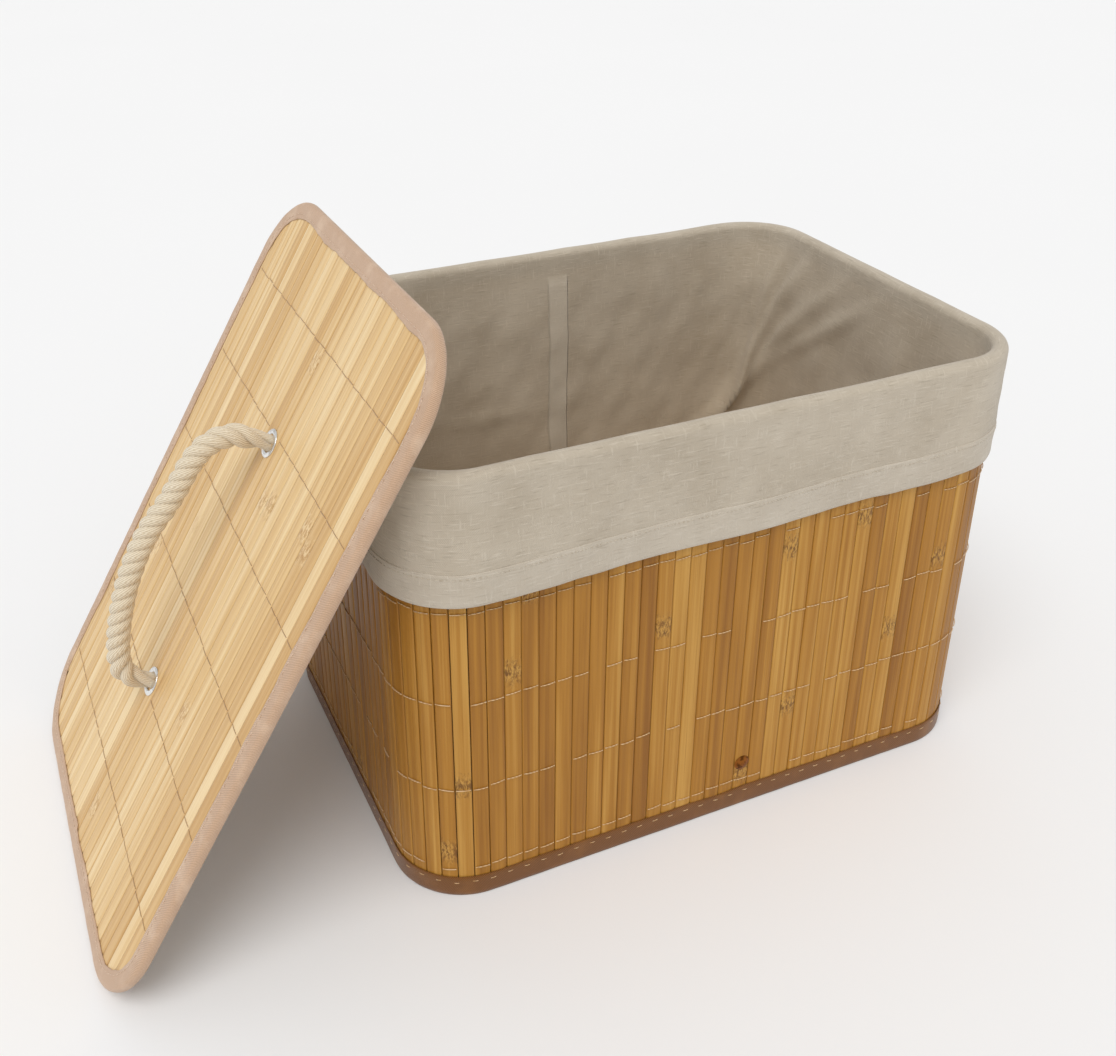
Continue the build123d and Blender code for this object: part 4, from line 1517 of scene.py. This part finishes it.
@dataclass
class RopeHandle:
    """A three-strand cotton rope that arches from one eyelet to the other.

    Attributes:
        lid: The lid it comes out of.
        radius: Of the laid rope.
        neck: Its radius where the eyelets pinch it.
        lay: Length of one full turn of the strands.
        arch: Length of the rope from pivot to pivot, as it is cut; not used.
        tail: Length from each pivot down into its eyelet; not used.
        route: Control points above the lid, as length and height in the lid's own space.
    """

    lid: Lid
    radius: float = 7.0 * MM
    neck: float = 5.2 * MM
    lay: float = 24.0 * MM
    arch: float = 198.4 * MM
    tail: float = 10.3 * MM
    route: tuple[tuple[float, float], ...] = (
        (83.0 * MM, 3.4 * MM), (83.0 * MM, 13.7 * MM), (81.34 * MM, 30.7 * MM), (66.4 * MM, 43.2 * MM),
        (33.2 * MM, 44.2 * MM), (8.3 * MM, 49.2 * MM), (-24.9 * MM, 46.7 * MM), (-58.1 * MM, 37.7 * MM),
        (-80.51 * MM, 26.7 * MM), (-83.0 * MM, 13.7 * MM), (-83.0 * MM, 3.4 * MM))

    def centreline(self) -> np.ndarray:
        """Evenly spaced points of the smooth line through the rope's middle."""
        curve = bpy.data.curves.new("rope_line", "CURVE")
        curve.dimensions = "3D"
        curve.resolution_u = 24
        spline = curve.splines.new("NURBS")
        spline.points.add(len(self.route) - 1)
        for point, (along, up) in zip(spline.points, self.route):
            point.co = (*self.lid.spot(along, 0.0, up), 1.0)
        spline.order_u = 3
        spline.use_endpoint_u = True
        carrier = bpy.data.objects.new("rope_line", curve)
        bpy.context.scene.collection.objects.link(carrier)
        graph = bpy.context.evaluated_depsgraph_get()
        mesh = bpy.data.meshes.new_from_object(carrier.evaluated_get(graph))
        points = np.array([vertex.co[:] for vertex in mesh.vertices])
        bpy.data.objects.remove(carrier)
        bpy.data.curves.remove(curve)
        bpy.data.meshes.remove(mesh)
        walked = np.append(0, np.cumsum(np.linalg.norm(np.diff(points, axis=0), axis=1)))
        even = np.linspace(0, walked[-1], 241)
        return np.stack([np.interp(even, walked, points[:, axis]) for axis in range(3)], 1)

    def build_knots(self, finish: bpy.types.Material) -> bpy.types.Object:
        """The flattened knots under the lid's face that hold the rope's ends.

        Args:
            finish: The cotton.

        Returns:
            One object.
        """
        profile = [(0.0, 0.9), (7.0, 0.9), (9.0, 1.15), (9.9, 2.0), (9.2, 2.9), (7.0, 3.3), (0.0, 3.3)]
        scaled = [(radius * MM, up * MM) for radius, up in profile]
        shape = bmesh.new()
        for place in (-self.lid.eyelet_place, self.lid.eyelet_place):
            part = lathe("knot", scaled, self.lid.frame @ Matrix.Translation((place, 0, 0)), finish)
            shape.from_mesh(part)
            bpy.data.meshes.remove(part)
        bmesh.ops.remove_doubles(shape, verts=shape.verts, dist=0.02 * MM)
        mesh = bpy.data.meshes.new("rope_knots")
        shape.to_mesh(mesh)
        shape.free()
        knots = finish_object("rope_knots", mesh, finish)
        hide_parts("rope_ends")
        return knots

    def build(self, finish: bpy.types.Material) -> bpy.types.Object:
        """Twist three strands round the line.

        Args:
            finish: The cotton.

        Returns:
            One object.
        """
        line = self.centreline()
        walked = np.append(0, np.cumsum(np.linalg.norm(np.diff(line, axis=0), axis=1)))
        total = float(walked[-1])
        ahead = np.gradient(line, axis=0)
        ahead /= np.linalg.norm(ahead, axis=1)[:, None]
        side = np.tile((0.0, 1.0, 0.0), (len(line), 1))
        lift = np.cross(ahead, side)
        height = (line - np.array(self.lid.origin)) @ np.array(self.lid.aim(0, 0, 1))
        grip = self.neck / self.radius
        swell = grip + (1 - grip) * smooth(8 * MM, 24 * MM, height)
        strand = 0.475 * self.radius * swell
        middle = smooth(0.0, 0.045, walked) * smooth(0.0, 0.045, total - walked)
        twist = np.append(0, np.cumsum(np.diff(walked) * (0.35 + 0.65 * middle[1:])))
        helix = 0.525 * self.radius * swell
        steps = 16
        vertices, faces, chart = [], [], []
        for index in range(3):
            angle = 2 * math.pi * (twist / self.lay + index / 3)
            spoke = np.cos(angle)[:, None] * side + np.sin(angle)[:, None] * lift
            centre = line + helix[:, None] * spoke
            run = np.gradient(centre, axis=0)
            run /= np.linalg.norm(run, axis=1)[:, None]
            right = np.cross(run, spoke)
            right /= np.linalg.norm(right, axis=1)[:, None]
            outer = np.cross(right, run)
            base = len(vertices)
            for step in range(steps):
                turn = 2 * math.pi * step / steps
                ring = centre + strand[:, None] * (math.cos(turn) * outer + math.sin(turn) * right * 1.06)
                vertices += ring.tolist()
            count = len(line)
            for step in range(steps):
                beside = (step + 1) % steps
                for place in range(count - 1):
                    faces.append((base + step * count + place, base + step * count + place + 1,
                                  base + beside * count + place + 1, base + beside * count + place))
                    across = [step, step, step + 1, step + 1]
                    along = [place, place + 1, place + 1, place]
                    chart += [(walked[a] + index, c * 2 * math.pi * 3.6 * MM / steps)
                              for a, c in zip(along, across)]
            for place in (0, count - 1):
                cap = [base + step * count + place for step in range(steps)]
                faces.append(tuple(cap))
                chart += [(walked[place] + index, c * 1.4 * MM) for c in range(steps)]
        mesh = bpy.data.meshes.new("rope")
        mesh.from_pydata(vertices, [], faces)
        layer = mesh.uv_layers.new(name="UVMap")
        layer.data.foreach_set("uv", np.array(chart, np.float32).ravel())
        shape = bmesh.new()
        shape.from_mesh(mesh)
        bmesh.ops.recalc_face_normals(shape, faces=shape.faces)
        shape.to_mesh(mesh)
        shape.free()
        rope = finish_object("rope", mesh, finish)
        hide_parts("rope_handle")
        tuple(self.lid.spot(0, 0, 6.4 * MM))
        tuple(self.lid.spot(0, 0, 28.0 * MM))
        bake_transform(rope)
        return rope


@dataclass
class HiddenParts:
    """Boards, backings, rods and small hardware that keep their shape and get their finish.

    Attributes:
        finishes: The finish of each node.
    """

    finishes: dict[str, bpy.types.Material]

    def dress(self) -> None:
        """Put each finish on its node."""
        for node, finish in self.finishes.items():
            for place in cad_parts[node].material_slots:
                place.material = finish
            log.info("%s: %s", node, finish.name)


@dataclass
class Studio:
    """A plain pale floor, soft light and the camera.

    Attributes:
        eye: Where the camera stands.
        heading: Its turn from +Y towards +X, in radians.
        tilt: How far it looks down.
        roll: Its turn about its own line of sight.
        lens: Focal length in millimetres.
        shift: Its lens shift.
        floor_colour: The floor's colour.
        ambient: Strength of the light from all round.
        key: Strength of the lamp.
        key_from: Where the lamp is seen from the floor.
    """

    eye: Vector = Vector((-0.36154, -0.64880, 0.58866))
    heading: float = 0.4183
    tilt: float = 0.4753
    roll: float = 0.0075
    lens: float = 41.157
    shift: tuple[float, float] = (0.03405, -0.08781)
    floor_colour: Colour = (0.865, 0.865, 0.865)
    ambient: float = 0.70
    key: float = 1.35
    key_from: tuple[float, float, float] = (-0.34, -0.40, 0.86)

    def build_camera(self) -> None:
        """Set the camera up."""
        sight = Vector((math.sin(self.heading) * math.cos(self.tilt),
                        math.cos(self.heading) * math.cos(self.tilt), -math.sin(self.tilt)))
        right = Vector((math.cos(self.heading), -math.sin(self.heading), 0.0))
        down = sight.cross(right)
        rolled_right = right * math.cos(self.roll) + down * math.sin(self.roll)
        rolled_down = down * math.cos(self.roll) - right * math.sin(self.roll)
        camera = bpy.data.cameras.new("camera")
        camera.sensor_width = 36.0
        camera.lens = self.lens
        camera.shift_x, camera.shift_y = self.shift
        camera.clip_start = 0.01
        holder = bpy.data.objects.new("camera", camera)
        turned = Matrix((rolled_right, -rolled_down, -sight)).transposed().to_4x4()
        holder.matrix_world = Matrix.Translation(self.eye) @ turned
        bpy.context.scene.collection.objects.link(holder)
        bpy.context.scene.camera = holder

    def build_floor(self) -> None:
        """A wide floor, barely mottled."""
        mesh = bpy.data.meshes.new("floor")
        reach = 6.0
        mesh.from_pydata([(-reach, -reach, 0), (reach, -reach, 0), (reach, reach, 0), (-reach, reach, 0)], [],
                         [(0, 1, 2, 3)])
        graph = ShaderGraph("studio_floor")
        cloud = graph.noise(graph.place((1.5, 1.5, 1.5)), 1.0, 2.0)
        pale = tuple(part * 1.02 for part in self.floor_colour)
        colour = graph.mix(cloud, self.floor_colour, pale)
        graph.set(Specular_IOR_Level=0.1)
        floor = finish_object("floor", mesh, graph.close(colour, 0.8))

    def build_light(self) -> None:
        """Soft light from all round, and a wide high lamp from the front left."""
        world = bpy.data.worlds.new("studio")
        world.use_nodes = True
        backdrop = world.node_tree.nodes["Background"]
        backdrop.inputs["Color"].default_value = (1.0, 1.0, 1.0, 1.0)
        backdrop.inputs["Strength"].default_value = self.ambient
        bpy.context.scene.world = world
        lamp = bpy.data.lights.new("key", "SUN")
        lamp.angle = math.radians(38.0)
        lamp.energy = self.key
        holder = bpy.data.objects.new("key", lamp)
        holder.rotation_euler = Vector(self.key_from).to_track_quat("Z", "Y").to_euler()
        bpy.context.scene.collection.objects.link(holder)
        bpy.context.scene.view_settings.view_transform = "Standard"


@dataclass
class Palette:
    """Every finish of the hamper, made once."""

    def __post_init__(self) -> None:
        """Make the finishes."""
        slats = dict(dark=shade(142, 92, 28), middle=shade(173, 120, 42), light=shade(202, 154, 76))
        self.wall_bamboo = BambooFinish("wall_bamboo", **slats, knot=shade(84, 48, 18)).build()
        pale = dict(dark=shade(198, 156, 100), middle=shade(222, 188, 135), light=shade(240, 216, 172))
        self.lid_bamboo = BambooFinish("lid_bamboo", **pale, knot=shade(170, 122, 70), knots=0.8,
                                       length_tilt=math.radians(-31.16)).build()
        self.linen = ClothFinish("liner_linen", shade(138, 124, 103), shade(181, 168, 148),
                                 shade(210, 199, 181), seam=Liner().marks()["seam"]).build()
        self.hem_linen = ClothFinish("hem_linen", shade(150, 136, 114), shade(190, 178, 160),
                                     shade(212, 202, 186)).build()
        self.backing = ClothFinish("backing_cloth", shade(52, 34, 18), shade(84, 56, 30), shade(110, 78, 46),
                                   chart=False).build()
        self.lining = ClothFinish("lid_lining", shade(150, 130, 104), shade(196, 180, 156),
                                  shade(214, 200, 180), chart=False).build()
        # The tapes' first colour is painted shade between their ribs.
        self.foot_tape = TapeFinish("foot_tape", shade(84, 48, 14), shade(134, 84, 28),
                                    shade(150, 100, 44), 0.3).build()
        self.lid_tape = TapeFinish("lid_edge_tape", shade(176, 144, 116), shade(204, 170, 141),
                                   shade(228, 202, 176), 0.9).build()
        self.foot_tape_plain = TapeFinish("hidden_tape", shade(66, 34, 12), shade(128, 78, 34),
                                          shade(156, 102, 54), 0.3, chart=False).build()
        # The cotton's and threads' first colour is painted shade down between the yarns, and their last a
        # painted highlight on the yarns' tops.
        self.cotton_plain = FibreFinish("rope_knots", shade(164, 140, 104), shade(220, 204, 176),
                                        shade(240, 230, 210), chart=False).build()
        self.wall_thread = FibreFinish("wall_thread", shade(150, 108, 62), shade(204, 164, 112),
                                       shade(228, 198, 154), chart=False).build()
        self.lid_thread = FibreFinish("lid_thread", shade(122, 88, 50), shade(160, 120, 74),
                                      shade(188, 150, 104), chart=False).build()
        self.tape_thread = FibreFinish("tape_thread", shade(170, 138, 110), shade(216, 186, 158),
                                       shade(236, 214, 190), chart=False).build()
        self.linen_thread = FibreFinish("linen_thread", shade(150, 134, 110), shade(194, 180, 158),
                                        shade(214, 204, 186), chart=False).build()
        self.cotton = FibreFinish("cotton_rope", shade(164, 140, 104), shade(220, 204, 176),
                                  shade(240, 230, 210), yarns=820.0, lay=0.75).build()
        self.nickel = MetalFinish("eyelet_nickel", (0.86, 0.86, 0.85), (0.66, 0.65, 0.62), 0.16, 0.32).build()
        self.copper = MetalFinish("rivet_copper", shade(150, 92, 40), shade(92, 54, 20), 0.32, 0.5).build()
        self.steel = MetalFinish("rod_steel", (0.55, 0.55, 0.54), (0.34, 0.33, 0.31), 0.3, 0.5).build()
        self.board = BoardFinish("fibreboard", shade(92, 66, 42), shade(138, 106, 72)).build()


def main() -> None:
    """Build, dress and place every piece."""
    logging.basicConfig(level=logging.INFO, format="%(name)s: %(message)s")
    palette = Palette()
    walls = HamperWalls()
    liner = Liner()
    lid = Lid(origin=Vector((-0.268010, 0.0, 0.174728)))
    handle = RopeHandle(lid)
    bag = liner.build_bag(palette.linen)
    hem = liner.build_hem(palette.hem_linen)
    hem_stitches = liner.build_stitches(palette.linen_thread)
    lining = lid.build_lining(palette.lining)
    riding = {
        Body.HAMPER: [walls.build_slats(palette.wall_bamboo), walls.build_threads(palette.wall_thread),
                      walls.build_tape(palette.foot_tape), walls.build_tape_stitches(palette.wall_thread),
                      bag, hem, hem_stitches],
        Body.LID: [lid.build_slats(palette.lid_bamboo), lid.build_threads(palette.lid_thread),
                   lid.build_tape(palette.lid_tape), lid.build_tape_stitches(palette.tape_thread),
                   lid.build_eyelets(palette.nickel), handle.build_knots(palette.cotton_plain),
                   lining],
    }
    for body, pieces in riding.items():
        for piece in pieces:
            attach(piece, body.value)
            log.info("%s rides on %s: %d faces", piece.name, body.value, len(piece.data.polygons))
    rope = handle.build(palette.cotton)
    log.info("%s: %d faces", rope.name, len(rope.data.polygons))
    backings = ("front_wall_backing", "back_wall_backing", "left_wall_backing", "right_wall_backing",
                "corner_backings")
    rods = ("rim_rod_front", "rim_rod_back", "rim_rod_right", "rim_rod_left", "lid_eyelet_washers",
            "rivet_washer")
    HiddenParts({
        **{node: palette.backing for node in backings},
        **{node: palette.steel for node in rods},
        "top_binding": palette.foot_tape_plain, "base_strap": palette.foot_tape_plain,
        "base_board": palette.board, "lid_core_board": palette.board, "strap_rivet": palette.copper,
    }).dress()
    studio = Studio()
    studio.build_floor()
    studio.build_light()
    studio.build_camera()


if __name__ == "__main__":
    main()
